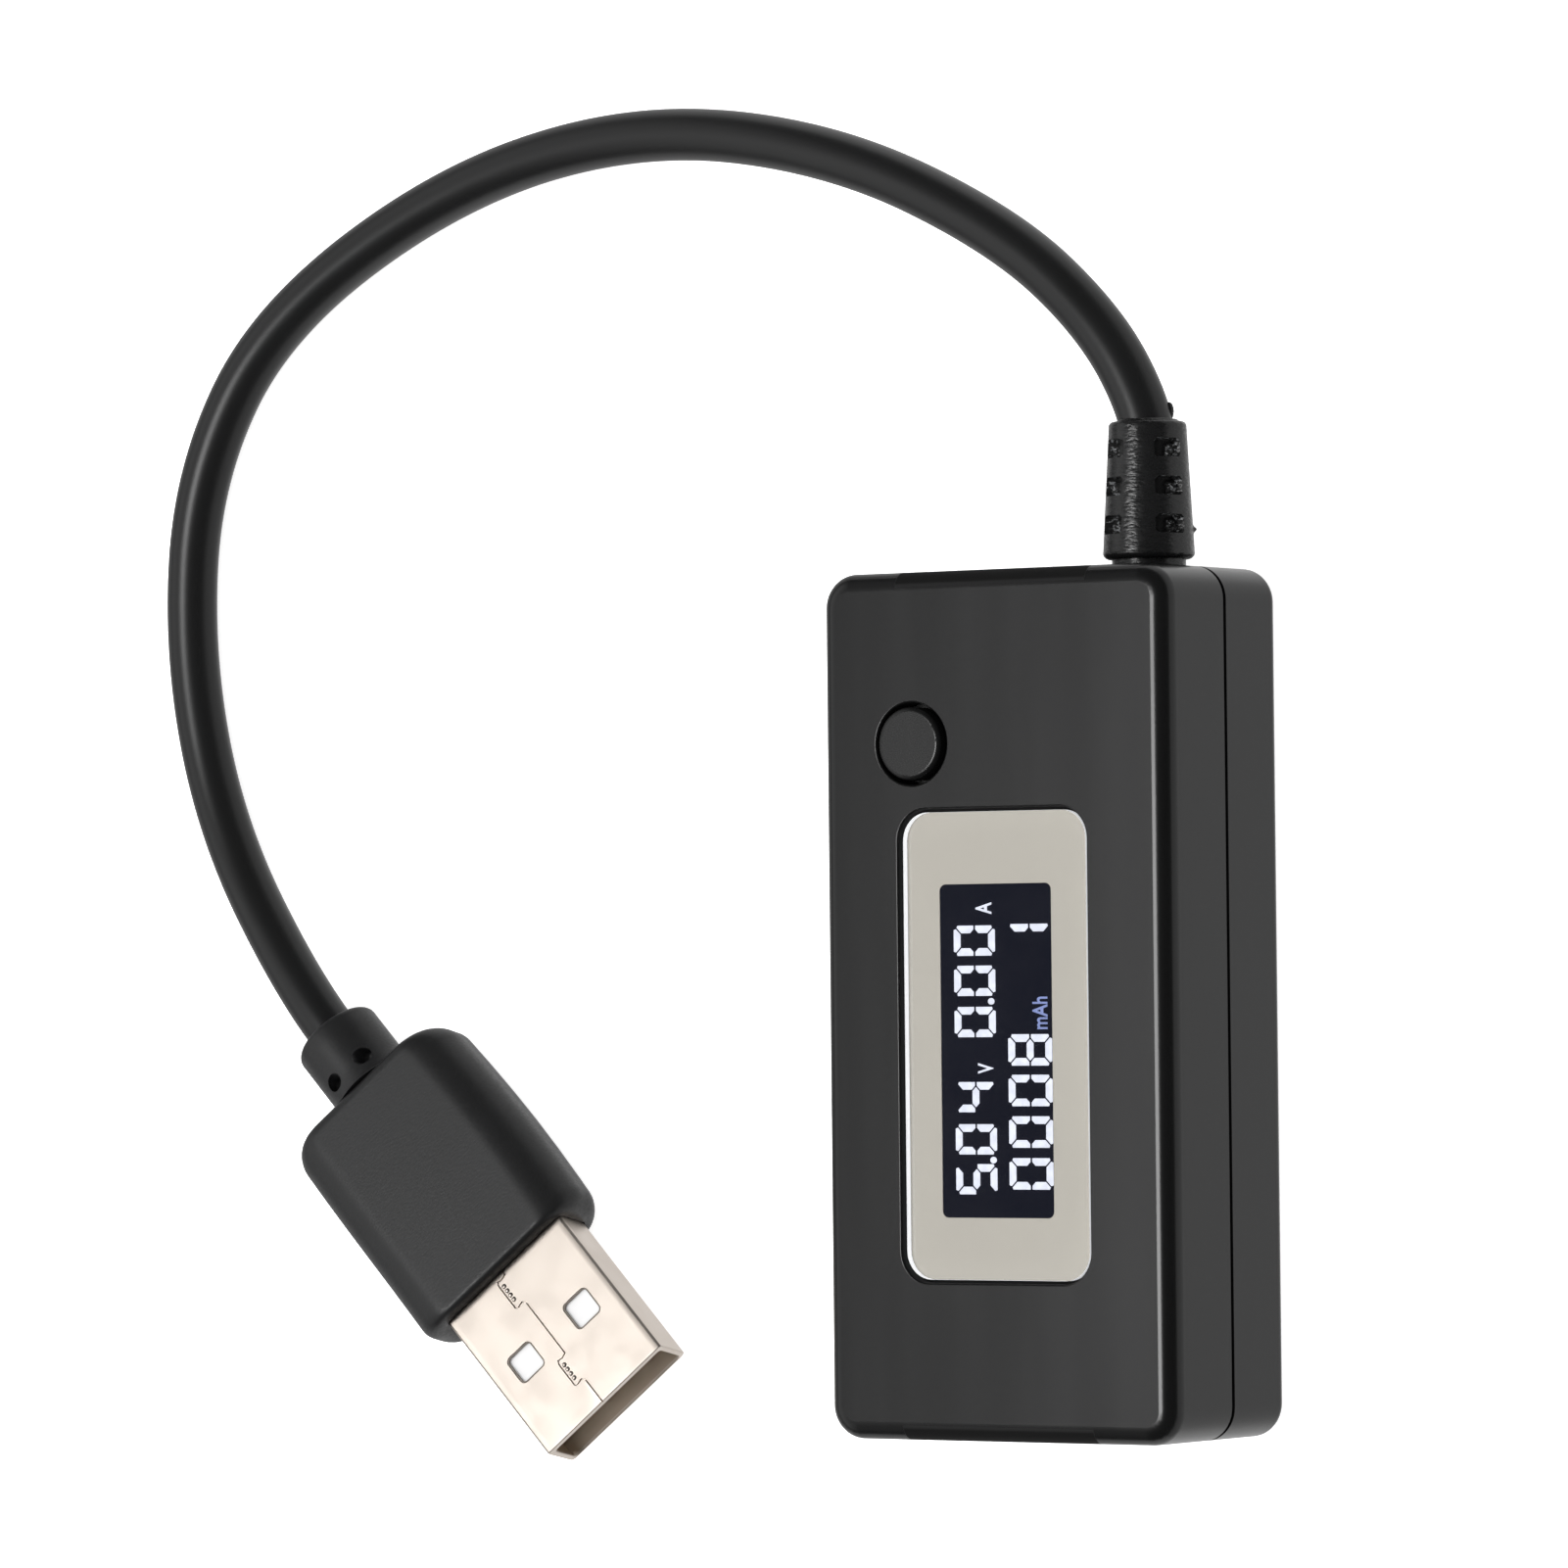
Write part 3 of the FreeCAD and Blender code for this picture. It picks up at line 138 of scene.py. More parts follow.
def make_floor():
    """A wide plain backlit sheet just under the case; reflections see the room's table instead."""
    mesh = bpy.data.meshes.new("floor")
    half = 1.5
    corners = [(-half, -half), (half, -half), (half, half), (-half, half)]
    mesh.from_pydata([(x, y, -0.03 * MM) for x, y in corners], [], [(0, 1, 2, 3)])
    floor = bpy.data.objects.new("floor", mesh)
    bpy.context.scene.collection.objects.link(floor)
    material = bpy.data.materials.new("floor_paper")
    material.use_nodes = True
    shader = material.node_tree.nodes["Principled BSDF"]
    shader.inputs["Base Color"].default_value = (0.93, 0.93, 0.93, 1)
    shader.inputs["Roughness"].default_value = 0.9
    shader.inputs["Specular IOR Level"].default_value = 0.1
    shader.inputs["Emission Color"].default_value = (1, 1, 1, 1)
    shader.inputs["Emission Strength"].default_value = FLOOR_GLOW
    mesh.materials.append(material)
    floor.visible_glossy = False


def area_light(name, place, aim, width, length, radiance, mirrored=True):
    """A soft box of a given size and brightness that faces a point, its length along Y."""
    data = bpy.data.lights.new(name, "AREA")
    data.shape = "RECTANGLE"
    data.size = width
    data.size_y = length
    data.energy = radiance * math.pi * width * length
    light = bpy.data.objects.new(name, data)
    bpy.context.scene.collection.objects.link(light)
    light.visible_glossy = mirrored
    ahead = (Vector(aim) - Vector(place)).normalized()
    across = Vector((0, 1, 0)).cross(-ahead).normalized()
    along = (-ahead).cross(across)
    turn = Matrix((across, along, -ahead)).transposed().to_4x4()
    light.matrix_world = Matrix.Translation(place) @ turn


def make_room():
    """Dim surroundings: a glow on the left above the table, and a pale table, palest in the middle."""
    world = bpy.data.worlds.new("room")
    world.use_nodes = True
    tree = world.node_tree
    way = tree.nodes.new("ShaderNodeSeparateXYZ")
    tree.links.new(tree.nodes.new("ShaderNodeTexCoord").outputs["Generated"], way.inputs[0])

    def ramp(value, low, high, start, end):
        node = tree.nodes.new("ShaderNodeMapRange")
        node.interpolation_type = "SMOOTHSTEP"
        tree.links.new(value, node.inputs["Value"])
        for key, item in (("From Min", low), ("From Max", high), ("To Min", start), ("To Max", end)):
            if isinstance(item, bpy.types.NodeSocket):
                tree.links.new(item, node.inputs[key])
            else:
                node.inputs[key].default_value = item
        return node.outputs["Result"]

    left = ramp(way.outputs["X"], -0.45, -0.8, 0.04, GLOW)
    above = ramp(way.outputs["Z"], 0.0, 0.5, 0.04, left)
    near = ramp(way.outputs["X"], 0.3, 0.0, TABLE, TABLE_NEAR)
    table = ramp(way.outputs["X"], -0.35, -0.6, near, TABLE)
    light = ramp(way.outputs["Z"], -0.03, 0.0, table, above)
    tree.nodes["Background"].inputs["Color"].default_value = (1, 1, 1, 1)
    tree.links.new(light, tree.nodes["Background"].inputs["Strength"])
    bpy.context.scene.world = world


def make_light():
    """A soft box overhead to the left and a wide fill that leaves no reflection."""
    area_light("soft_box", (-0.26, -0.02, 0.97), (0.0, -0.02, 0.0), 0.30, 0.32, 11.8)
    area_light("fill", (-0.05, 0.02, 1.0), (-0.05, 0.02, 0.0), 3.0, 3.0, 1.35, mirrored=False)
    bpy.context.scene.view_settings.view_transform = "Standard"


make_floor()
make_room()
make_light()

# ---------------------------------------------------------------- materials

# millimetres: the gap between the lens and its recess, and how far the lens lies below the face
RECESS_GAP = 0.25
LIP_DEPTH = 0.3


class Surface:
    """A material round one Principled shader, with textures sized in millimetres in object space."""

    def __init__(self, name, colour, roughness, metallic=0.0, specular=0.5):
        self.material = bpy.data.materials.new(name)
        self.material.use_nodes = True
        self.tree = self.material.node_tree
        self.shader = self.tree.nodes["Principled BSDF"]
        self.output = self.tree.nodes["Material Output"]
        self.shader.inputs["Base Color"].default_value = (*colour, 1)
        self.shader.inputs["Roughness"].default_value = roughness
        self.shader.inputs["Metallic"].default_value = metallic
        self.shader.inputs["Specular IOR Level"].default_value = specular
        self.place = self.tree.nodes.new("ShaderNodeTexCoord").outputs["Object"]
        self.normal = None

    def node(self, kind, **values):
        """A new node with some of its inputs set or linked."""
        node = self.tree.nodes.new(kind)
        for key, value in values.items():
            self.feed(node.inputs[key.replace("_", " ")], value)
        return node

    def feed(self, socket, value):
        """Link an output to a socket, or set the socket."""
        if isinstance(value, bpy.types.NodeSocket):
            self.tree.links.new(value, socket)
        else:
            socket.default_value = value

    def space(self, size, stretch=(1, 1, 1), offset=0.0):
        """Object space scaled so that one unit is a feature of that size."""
        scale = [factor / (size * MM) for factor in stretch]
        return self.node("ShaderNodeMapping", Vector=self.place, Scale=scale,
                         Location=(offset, offset * 0.7, offset * 1.3)).outputs["Vector"]

    def noise(self, size, detail=2.0, stretch=(1, 1, 1), offset=0.0):
        """Cloudy noise, 0 to 1 about 0.5."""
        return self.node("ShaderNodeTexNoise", Vector=self.space(size, stretch, offset),
                         Scale=1.0, Detail=detail).outputs["Fac"]

    def ramp(self, value, low, high, start=0.0, end=1.0):
        """value from low..high to start..end, clamped."""
        node = self.node("ShaderNodeMapRange")
        node.interpolation_type = "SMOOTHSTEP"
        for index, item in enumerate((value, low, high, start, end)):
            self.feed(node.inputs[index], item)
        return node.outputs["Result"]

    def math(self, operation, first, second=0.0):
        """One arithmetic step."""
        node = self.node("ShaderNodeMath")
        node.operation = operation
        self.feed(node.inputs[0], first)
        self.feed(node.inputs[1], second)
        return node.outputs["Value"]

    def specks(self, spacing, radius, share):
        """Small round spots, 1 inside, one in a share of the cells of that spacing."""
        cell = self.node("ShaderNodeTexVoronoi", Vector=self.space(spacing), Scale=1.0)
        chosen = self.ramp(self.node("ShaderNodeSeparateColor", Color=cell.outputs["Color"]).outputs[0],
                           share, share + 0.01, 1.0, 0.0)
        spot = self.ramp(cell.outputs["Distance"], radius / spacing * 0.6, radius / spacing, 1.0, 0.0)
        return self.math("MULTIPLY", chosen, spot)

    def blend(self, factor, first, second):
        """One colour or another by a factor; colours are triples or outputs."""
        node = self.tree.nodes.new("ShaderNodeMix")
        node.data_type = "RGBA"
        self.feed(node.inputs["Factor"], factor)
        for socket, value in ((node.inputs[6], first), (node.inputs[7], second)):
            self.feed(socket, value if isinstance(value, bpy.types.NodeSocket) else (*value, 1))
        return node.outputs[2]

    def colour(self, value):
        self.feed(self.shader.inputs["Base Color"], value)

    def roughness(self, value):
        self.feed(self.shader.inputs["Roughness"], value)

    def bump(self, height, depth):
        """Add relief, depth millimetres for a height of 1."""
        node = self.node("ShaderNodeBump", Height=height, Distance=depth * MM, Strength=1.0)
        if self.normal:
            self.tree.links.new(self.normal, node.inputs["Normal"])
        self.normal = node.outputs["Normal"]
        self.tree.links.new(self.normal, self.shader.inputs["Normal"])


def recess_walls(surface):
    """A mask for painted shade: one below the front face across the lens's span in X, and zero beside it.

    It has no limit in Y, so besides the walls of the lens recess it takes in the shell's end walls.
    """
    low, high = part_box("display_lens")
    place = surface.node("ShaderNodeSeparateXYZ", Vector=surface.space(1.0))
    middle = (low.x + high.x) / 2 / MM
    reach = (high.x - low.x) / 2 / MM + RECESS_GAP
    beside = surface.math("ABSOLUTE", surface.math("SUBTRACT", place.outputs["X"], middle))
    inside = surface.ramp(beside, reach + 0.02, reach + 0.12, 1.0, 0.0)
    top = high.z / MM + LIP_DEPTH
    below = surface.ramp(place.outputs["Z"], top - 0.12, top, 1.0, 0.0)
    return surface.math("MULTIPLY", inside, below)


def satin_plastic(name, shade, roughness, grain, dust=0.25, shade_recess_walls=False):
    """Moulded plastic: fine spark texture, slow waviness, faint streaks and a little dust; on request,
    painted shade on the lens recess walls.
    """
    surface = Surface(name, (shade,) * 3, roughness)
    cloud = surface.noise(9.0, 3.0)
    streaks = surface.noise(3.0, 2.0, (1.0, 0.08, 1.0), 3.0)
    specks = surface.specks(5.5, 0.07, dust)
    base = surface.blend(cloud, (shade * 0.85,) * 3, (shade * 1.1, shade * 1.12, shade * 1.18))
    base = surface.blend(surface.math("MULTIPLY", specks, 0.5), base, (0.16, 0.16, 0.15))
    fine = surface.noise(0.14, 2.0)
    gloss = surface.ramp(surface.math("ADD", surface.math("MULTIPLY", streaks, 0.6),
                                      surface.math("MULTIPLY", fine, 0.4)),
                         0.3, 0.7, roughness - 0.012, roughness + 0.012)
    if shade_recess_walls:
        # painted shade: the lens recess walls are darkened to near black, standing in for the shade in the
        # narrow gap round the lens
        recess_shade = recess_walls(surface)
        base = surface.blend(recess_shade, base, (0.0005,) * 3)
        gloss = surface.math("ADD", gloss, surface.math("MULTIPLY", recess_shade, 0.6))
    surface.colour(base)
    surface.roughness(gloss)
    surface.bump(cloud, 0.003)
    surface.bump(fine, grain)
    return surface.material


def rubber(name, shade, roughness, grain, size=0.22, across=2.0):
    """Soft moulding: a pebbled skin, the pebbles wider than long."""
    surface = Surface(name, (shade,) * 3, roughness)
    cloud = surface.noise(6.0, 3.0)
    surface.colour(surface.blend(cloud, (shade * 0.8,) * 3, (shade * 1.15, shade * 1.17, shade * 1.24)))
    fine = surface.noise(size, 1.6, (1.0, across, 1.0))
    surface.roughness(surface.ramp(fine, 0.3, 0.7, roughness - 0.05, roughness + 0.05))
    surface.bump(cloud, 0.01)
    surface.bump(fine, grain)
    return surface.material


def crumbs_with_painted_glints(name, shade, roughness):
    """Torn glossy rubber on a black lump, with small pale painted glints standing in for highlights."""
    surface = Surface(name, (shade,) * 3, roughness)
    fine = surface.noise(0.30, 2.0)
    # painted highlight: pale spots blended into the lump's colour
    surface.colour(surface.blend(surface.ramp(fine, 0.52, 0.64), (shade,) * 3, (0.15, 0.155, 0.16)))
    surface.bump(fine, 0.06)
    return surface.material


def plated_steel(name, colour, roughness, grain=0.0015):
    """Tumbled plated sheet: cloudy tint and fine peel."""
    surface = Surface(name, colour, roughness, metallic=1.0)
    cloud = surface.noise(2.4, 4.0)
    darker = tuple(part * 0.94 for part in colour)
    surface.colour(surface.blend(cloud, darker, colour))
    fine = surface.noise(0.22, 3.0)
    surface.roughness(surface.ramp(cloud, 0.3, 0.7, roughness - 0.04, roughness + 0.04))
    surface.bump(fine, grain)
    return surface.material


def plain_moulding(name, colour, roughness, grain=0.002):
    """A plain moulded or painted surface with slight mottling and grain."""
    surface = Surface(name, colour, roughness)
    cloud = surface.noise(1.6, 3.0)
    surface.colour(surface.blend(cloud, tuple(part * 0.9 for part in colour), colour))
    surface.roughness(surface.ramp(cloud, 0.3, 0.7, roughness - 0.05, roughness + 0.05))
    surface.bump(surface.noise(0.12, 2.0), grain)
    return surface.material


def metal(name, colour, roughness, stretch=(1, 1, 1)):
    """Bare or plated metal with a rolled grain."""
    surface = Surface(name, colour, roughness, metallic=1.0)
    grain = surface.noise(0.5, 4.0, stretch)
    surface.colour(surface.blend(grain, tuple(part * 0.85 for part in colour), colour))
    surface.roughness(surface.ramp(grain, 0.3, 0.7, roughness - 0.06, roughness + 0.06))
    surface.bump(grain, 0.001)
    return surface.material


def board_laminate():
    """Green solder mask with copper tracks showing through and the weave under it."""
    surface = Surface("board_laminate", (0.01, 0.12, 0.05), 0.35)
    tracks = surface.node("ShaderNodeTexBrick", Vector=surface.space(2.4), Scale=1.0, Mortar_Size=0.12,
                          Color1=(0, 0, 0, 1), Color2=(0, 0, 0, 1), Mortar=(1, 1, 1, 1))
    weave = surface.noise(0.4, 1.0)
    base = surface.blend(weave, (0.006, 0.07, 0.03), (0.01, 0.11, 0.045))
    surface.colour(surface.blend(tracks.outputs["Color"], base, (0.03, 0.2, 0.07)))
    surface.bump(tracks.outputs["Color"], 0.02)
    surface.bump(weave, 0.004)
    return surface.material


def silver_print():
    """The champagne silver ink behind the lens: flat metallic pigment with faint mottling."""
    surface = Surface("silver_print", (0.40, 0.385, 0.335), 0.55, metallic=0.35)
    cloud = surface.noise(7.0, 2.0)
    grain = surface.noise(0.10, 1.0)
    base = surface.blend(cloud, (0.39, 0.37, 0.33), (0.41, 0.39, 0.345))
    surface.colour(surface.blend(surface.math("MULTIPLY", grain, 0.12), base, (0.63, 0.60, 0.54)))
    surface.roughness(surface.ramp(grain, 0.3, 0.7, 0.5, 0.6))
    surface.bump(grain, 0.001)
    return surface.material


def clear(name, tint, gloss=0.03, haze=0.0, share=1.0):
    """A thin clear piece: what lies behind shows through, and only its gloss is added."""
    surface = Surface(name, (0.02, 0.02, 0.022), 0.5)
    tree = surface.tree
    through = surface.node("ShaderNodeBsdfTransparent", Color=(*tint, 1))
    shine = surface.node("ShaderNodeBsdfGlossy", Roughness=gloss)
    smear = surface.noise(4.0, 4.0)
    surface.feed(shine.inputs["Roughness"], surface.ramp(smear, 0.35, 0.65, gloss, gloss + 0.05))
    facing = surface.node("ShaderNodeLayerWeight", Blend=0.5).outputs["Facing"]
    fresnel = surface.math("ADD", surface.math("MULTIPLY", surface.math("POWER", facing, 5.0), 0.96), 0.04)
    body = surface.node("ShaderNodeMixShader", Fac=haze)
    tree.links.new(through.outputs[0], body.inputs[1])
    tree.links.new(surface.shader.outputs[0], body.inputs[2])
    mix = surface.node("ShaderNodeMixShader", Fac=surface.math("MULTIPLY", fresnel, share))
    tree.links.new(body.outputs[0], mix.inputs[1])
    tree.links.new(shine.outputs[0], mix.inputs[2])
    tree.links.new(mix.outputs[0], surface.output.inputs["Surface"])
    return surface.material


def frosted_edge_painted_glow():
    """The sawn and frosted rim of the lens, with a painted glow: it emits light, standing in for the light
    it catches.
    """
    surface = Surface("frosted_edge_painted_glow", (0.86, 0.88, 0.9), 0.6)
    saw = surface.noise(0.25, 3.0, (1, 1, 0.2))
    surface.colour(surface.blend(saw, (0.75, 0.77, 0.8), (0.92, 0.93, 0.95)))
    # painted glow: the rim emits light though it is no lamp
    surface.feed(surface.shader.inputs["Emission Color"], (0.95, 0.97, 1.0, 1))
    surface.shader.inputs["Emission Strength"].default_value = 0.6
    surface.bump(saw, 0.01)
    return surface.material


def display_ground():
    """The unlit display behind the digits: near black with a navy glow and a faint grain."""
    surface = Surface("display_ground", (0.004, 0.004, 0.008), 0.4, specular=0.2)
    grain = surface.noise(0.35, 2.0)
    glow = surface.blend(surface.noise(5.0, 2.0), (0.0005, 0.0012, 0.009), (0.001, 0.0025, 0.011))
    surface.colour(surface.blend(grain, (0.003, 0.003, 0.006), (0.007, 0.006, 0.011)))
    surface.feed(surface.shader.inputs["Emission Color"], glow)
    surface.shader.inputs["Emission Strength"].default_value = 1.0
    surface.bump(grain, 0.001)
    return surface.material


def lit_segment(name, light, strength):
    """Backlight through an open segment, a little uneven across it."""
    surface = Surface(name, (0.5, 0.5, 0.5), 0.5)
    cloud = surface.noise(0.6, 2.0)
    dim = tuple(part * 0.86 for part in light)
    surface.feed(surface.shader.inputs["Emission Color"],
                 surface.blend(surface.ramp(cloud, 0.3, 0.7), dim, light))
    surface.shader.inputs["Emission Strength"].default_value = strength
    return surface.material


CASE_BLACK = satin_plastic("case_black", 0.004, 0.245, 0.0005)
# the front shell carries painted shade on its lens recess walls
FRONT_BLACK = satin_plastic("front_black", 0.004, 0.245, 0.0005, shade_recess_walls=True)
BUTTON_BLACK = satin_plastic("button_black", 0.004, 0.27, 0.0010, 0.1)
CORD_BLACK = satin_plastic("cord_black", 0.006, 0.36, 0.0008, 0.06)
BOOT_BLACK = rubber("boot_black", 0.006, 0.29, 0.05, 0.50, 2.6)
# painted shade: a darker colour for the slot floors, standing in for the shade down in the boot's slots
BOOT_SLOT_SHADE = rubber("boot_slot_shade", 0.002, 0.6, 0.03)
BOOT_CRUMB_GLINTS = crumbs_with_painted_glints("boot_crumb_painted_glints", 0.012, 0.25)
GRIP_BLACK = rubber("grip_black", 0.009, 0.43, 0.008, 0.30)
PLUG_STEEL = plated_steel("plug_steel", (0.80, 0.72, 0.645), 0.43)
# painted shade: a dark steel for the rings just inside the latch holes
HOLE_RIM_SHADE = plated_steel("hole_rim_shade", (0.26, 0.23, 0.20), 0.5)
# painted shade: a darker, browner steel for the shell's inside, standing in for the shade in its mouth
PLUG_INSIDE_SHADE = plated_steel("plug_inside_shade", (0.64, 0.54, 0.43), 0.45)
SOCKET_STEEL = plated_steel("socket_steel", (0.72, 0.72, 0.71), 0.28)
WHITE_PLASTIC = plain_moulding("white_plastic", (0.75, 0.745, 0.745), 0.4, 0.001)
LENS_CLEAR = clear("lens_clear", (1.0, 1.0, 1.0))
LENS_EDGE_GLOW = frosted_edge_painted_glow()
FILM_CLEAR = clear("film_clear", (0.97, 0.97, 1.0), share=0.25, gloss=0.1)
GLASS_CLEAR = clear("glass_clear", (1.0, 1.0, 1.0), share=0.0)
LIT_WHITE = lit_segment("lit_white", (0.86, 0.90, 0.98), 1.24)
LIT_BLUE = lit_segment("lit_blue", (0.34, 0.42, 0.78), 0.9)

NODE_MATERIALS = {
    CASE_BLACK: ["back_shell"],
    FRONT_BLACK: ["front_shell"],
    BUTTON_BLACK: ["button_cap"],
    CORD_BLACK: ["cord_tail"],
    silver_print(): ["lens_mask"],
    FILM_CLEAR: ["lcd_front_polarizer"],
    GLASS_CLEAR: ["lcd_front_glass"],
    display_ground(): ["lcd_rear_glass", "lcd_rear_polarizer"],
    plain_moulding("black_tape", (0.015, 0.015, 0.016), 0.6): ["lens_tape", "lcd_seal"],
    plain_moulding("light_guide", (0.75, 0.8, 0.85), 0.15): ["backlight_guide"],
    WHITE_PLASTIC: ["backlight_leds", "lcd_carrier", "socket_tongue", "plug_insulator"],
    plain_moulding("dark_plastic", (0.02, 0.02, 0.022), 0.45): ["switch_base", "switch_plunger"],
    plain_moulding("chip_black", (0.02, 0.02, 0.022), 0.55): ["mcu_chip", "memory_chip",
                                                             "voltage_regulator"],
    plain_moulding("chip_ceramic", (0.30, 0.22, 0.14), 0.5): ["chip_capacitors", "chip_resistors",
                                                             "shunt_resistor"],
    metal("spring_steel", (0.62, 0.61, 0.59), 0.3, (1, 8, 1)): ["switch_cover", "switch_dome"],
    metal("tinned", (0.74, 0.74, 0.73), 0.35): ["lcd_pins", "switch_terminals", "solder_joints"],
    metal("gilt", (0.90, 0.66, 0.27), 0.25, (1, 6, 1)): ["socket_contacts", "plug_contacts"],
    board_laminate(): ["circuit_board"],
    plain_moulding("insulation_red", (0.42, 0.02, 0.015), 0.4): ["wire_red"],
    plain_moulding("insulation_white", (0.8, 0.8, 0.78), 0.4): ["wire_white"],
    plain_moulding("insulation_green", (0.02, 0.25, 0.06), 0.4): ["wire_green"],
    plain_moulding("insulation_black", (0.015, 0.015, 0.015), 0.4): ["wire_black"],
}


def smooth(mesh, sharp):
    """Shade smooth, but for edges sharper than an angle in degrees."""
    mesh.shade_smooth()
    mesh.set_sharp_from_angle(angle=math.radians(sharp))


def dress(item, material):
    """Give an object one material."""
    item.data.materials.clear()
    item.data.materials.append(material)


for finish, names in NODE_MATERIALS.items():
    for name in names:
        dress(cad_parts[name], finish)
        smooth(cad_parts[name].data, 30.0)
dress(cord, CORD_BLACK)

# ---------------------------------------------------------------- mesh helpers


def arc_points(centre, radius, begin, sweep, steps):
    """Points along an arc in a plane, angles in degrees."""
    angles = [math.radians(begin + sweep * step / steps) for step in range(steps + 1)]
    return [(centre[0] + radius * math.cos(a), centre[1] + radius * math.sin(a)) for a in angles]


def rounded_outline(width, height, radius, steps=8):
    """A rounded rectangle about the origin, counter-clockwise."""
    points = []
    for index, (side_x, side_y) in enumerate([(1, -1), (1, 1), (-1, 1), (-1, -1)]):
        centre = (side_x * (width / 2 - radius), side_y * (height / 2 - radius))
        points.extend(arc_points(centre, radius, -90 + 90 * index, 90, steps))
    return points


def even_outline(width, height, radius, count):
    """A rounded rectangle, or a circle, cut into equal lengths from the middle of its right side."""
    flat_x = width - 2 * radius
    flat_y = height - 2 * radius
    arc = radius * math.pi / 2
    total = 2 * (flat_x + flat_y) + 4 * arc
    runs = [("line", flat_y / 2), ("arc", 0), ("line", flat_x), ("arc", 90), ("line", flat_y),
            ("arc", 180), ("line", flat_x), ("arc", 270), ("line", flat_y / 2)]
    points = []
    for index in range(count):
        rest = total * index / count
        x, y, heading = width / 2, 0.0, 90.0
        for kind, value in runs:
            length = value if kind == "line" else arc
            step = min(rest, length)
            rest -= step
            turned = math.radians(heading)
            if kind == "line":
                x += step * math.cos(turned)
                y += step * math.sin(turned)
            elif radius > 0:
                swept = step / radius
                x += radius * (math.sin(turned + swept) - math.sin(turned))
                y -= radius * (math.cos(turned + swept) - math.cos(turned))
                heading += math.degrees(swept)
            if rest <= 0:
                break
        points.append((x, y))
    return points


def loft(bm, rings, start_cap=False, end_cap=False):
    """Skin a row of rings of points with quads, and return the new faces."""
    rows = [[bm.verts.new(point) for point in ring] for ring in rings]
    count = len(rows[0])
    faces = []
    for near, far in zip(rows, rows[1:]):
        for index in range(count):
            after = (index + 1) % count
            faces.append(bm.faces.new((near[index], near[after], far[after], far[index])))
    if start_cap:
        faces.append(bm.faces.new(rows[0][::-1]))
    if end_cap:
        faces.append(bm.faces.new(rows[-1]))
    return faces


def prism(bm, outline, low, high):
    """An upright prism on an outline."""
    return loft(bm, [[(x, y, z) for x, y in outline] for z in (low, high)], start_cap=True, end_cap=True)


def finish_piece(name, bm, body, replaced, materials, sharp=35.0, turn=None):
    """Turn a bmesh in millimetres into a named piece on its body, with flat faces shaded flat."""
    bmesh.ops.recalc_face_normals(bm, faces=bm.faces[:])
    bmesh.ops.scale(bm, vec=(MM, MM, MM), verts=bm.verts[:])
    mesh = bpy.data.meshes.new(name)
    bm.to_mesh(mesh)
    bm.free()
    for material in materials:
        mesh.materials.append(material)
    smooth(mesh, sharp)
    piece = bpy.data.objects.new(name, mesh)
    bpy.context.scene.collection.objects.link(piece)
    weigh = piece.modifiers.new("flat_faces", "WEIGHTED_NORMAL")
    weigh.keep_sharp = True
    weigh.weight = 100
    if turn:
        piece.matrix_world = turn
    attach(piece, body)
    if replaced:
        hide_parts(*replaced)
    return piece


def carve(name, bm, cutters):
    """Cut meshes out of a bmesh in millimetres, exactly, and return the result."""
    target = bpy.data.objects.new(name, bpy.data.meshes.new(name))
    bmesh.ops.recalc_face_normals(bm, faces=bm.faces[:])
    bm.to_mesh(target.data)
    bm.free()
    bpy.context.scene.collection.objects.link(target)
    tools = []
    for index, cutter in enumerate(cutters):
        tool = bpy.data.objects.new(f"{name}_tool{index}", bpy.data.meshes.new("tool"))
        bmesh.ops.recalc_face_normals(cutter, faces=cutter.faces[:])
        cutter.to_mesh(tool.data)
        cutter.free()
        bpy.context.scene.collection.objects.link(tool)
        step = target.modifiers.new("cut", "BOOLEAN")
        step.operation = "DIFFERENCE"
        step.solver = "EXACT"
        step.object = tool
        tools.append(tool)
    result = bmesh.new()
    result.from_mesh(target.evaluated_get(bpy.context.evaluated_depsgraph_get()).to_mesh())
    for item in (target, *tools):
        bpy.data.objects.remove(item)
    return result


# ---------------------------------------------------------------- lens

LENS_LOW, LENS_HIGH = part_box("display_lens")
LENS_CORNER = 2.1
LENS_BEVEL = 0.04
LENS_GAP = 0.01


def make_lens():
    """The clear plate with its rounded corners, a fine bevel and a frosted rim with a painted glow."""
    low = LENS_LOW / MM
    high = LENS_HIGH / MM
    middle = (low + high) / 2
    width = high.x - low.x
    length = high.y - low.y
    levels = [(low.z + LENS_GAP, 0.0), (high.z - LENS_BEVEL, 0.0), (high.z, LENS_BEVEL)]
    bm = bmesh.new()
    rings = []
    for z, inset in levels:
        outline = rounded_outline(width - 2 * inset, length - 2 * inset, LENS_CORNER - inset, 10)
        rings.append([(middle.x + x, middle.y + y, z) for x, y in outline])
    loft(bm, rings, start_cap=True, end_cap=True)
    bm.normal_update()
    for face in bm.faces:
        face.material_index = 0 if abs(face.normal.z) > 0.1 else 1
    finish_piece("lens_plate", bm, "case", ["display_lens"], [LENS_CLEAR, LENS_EDGE_GLOW])


make_lens()

# ---------------------------------------------------------------- readout

STROKE = 0.56
JOINT = 0.10
CORNER_CUT = 0.32
LIT_SEGMENTS = {"0": "abcdef", "1": "bc", "4": "bcfg", "5": "acdfg", "8": "abcdefg"}
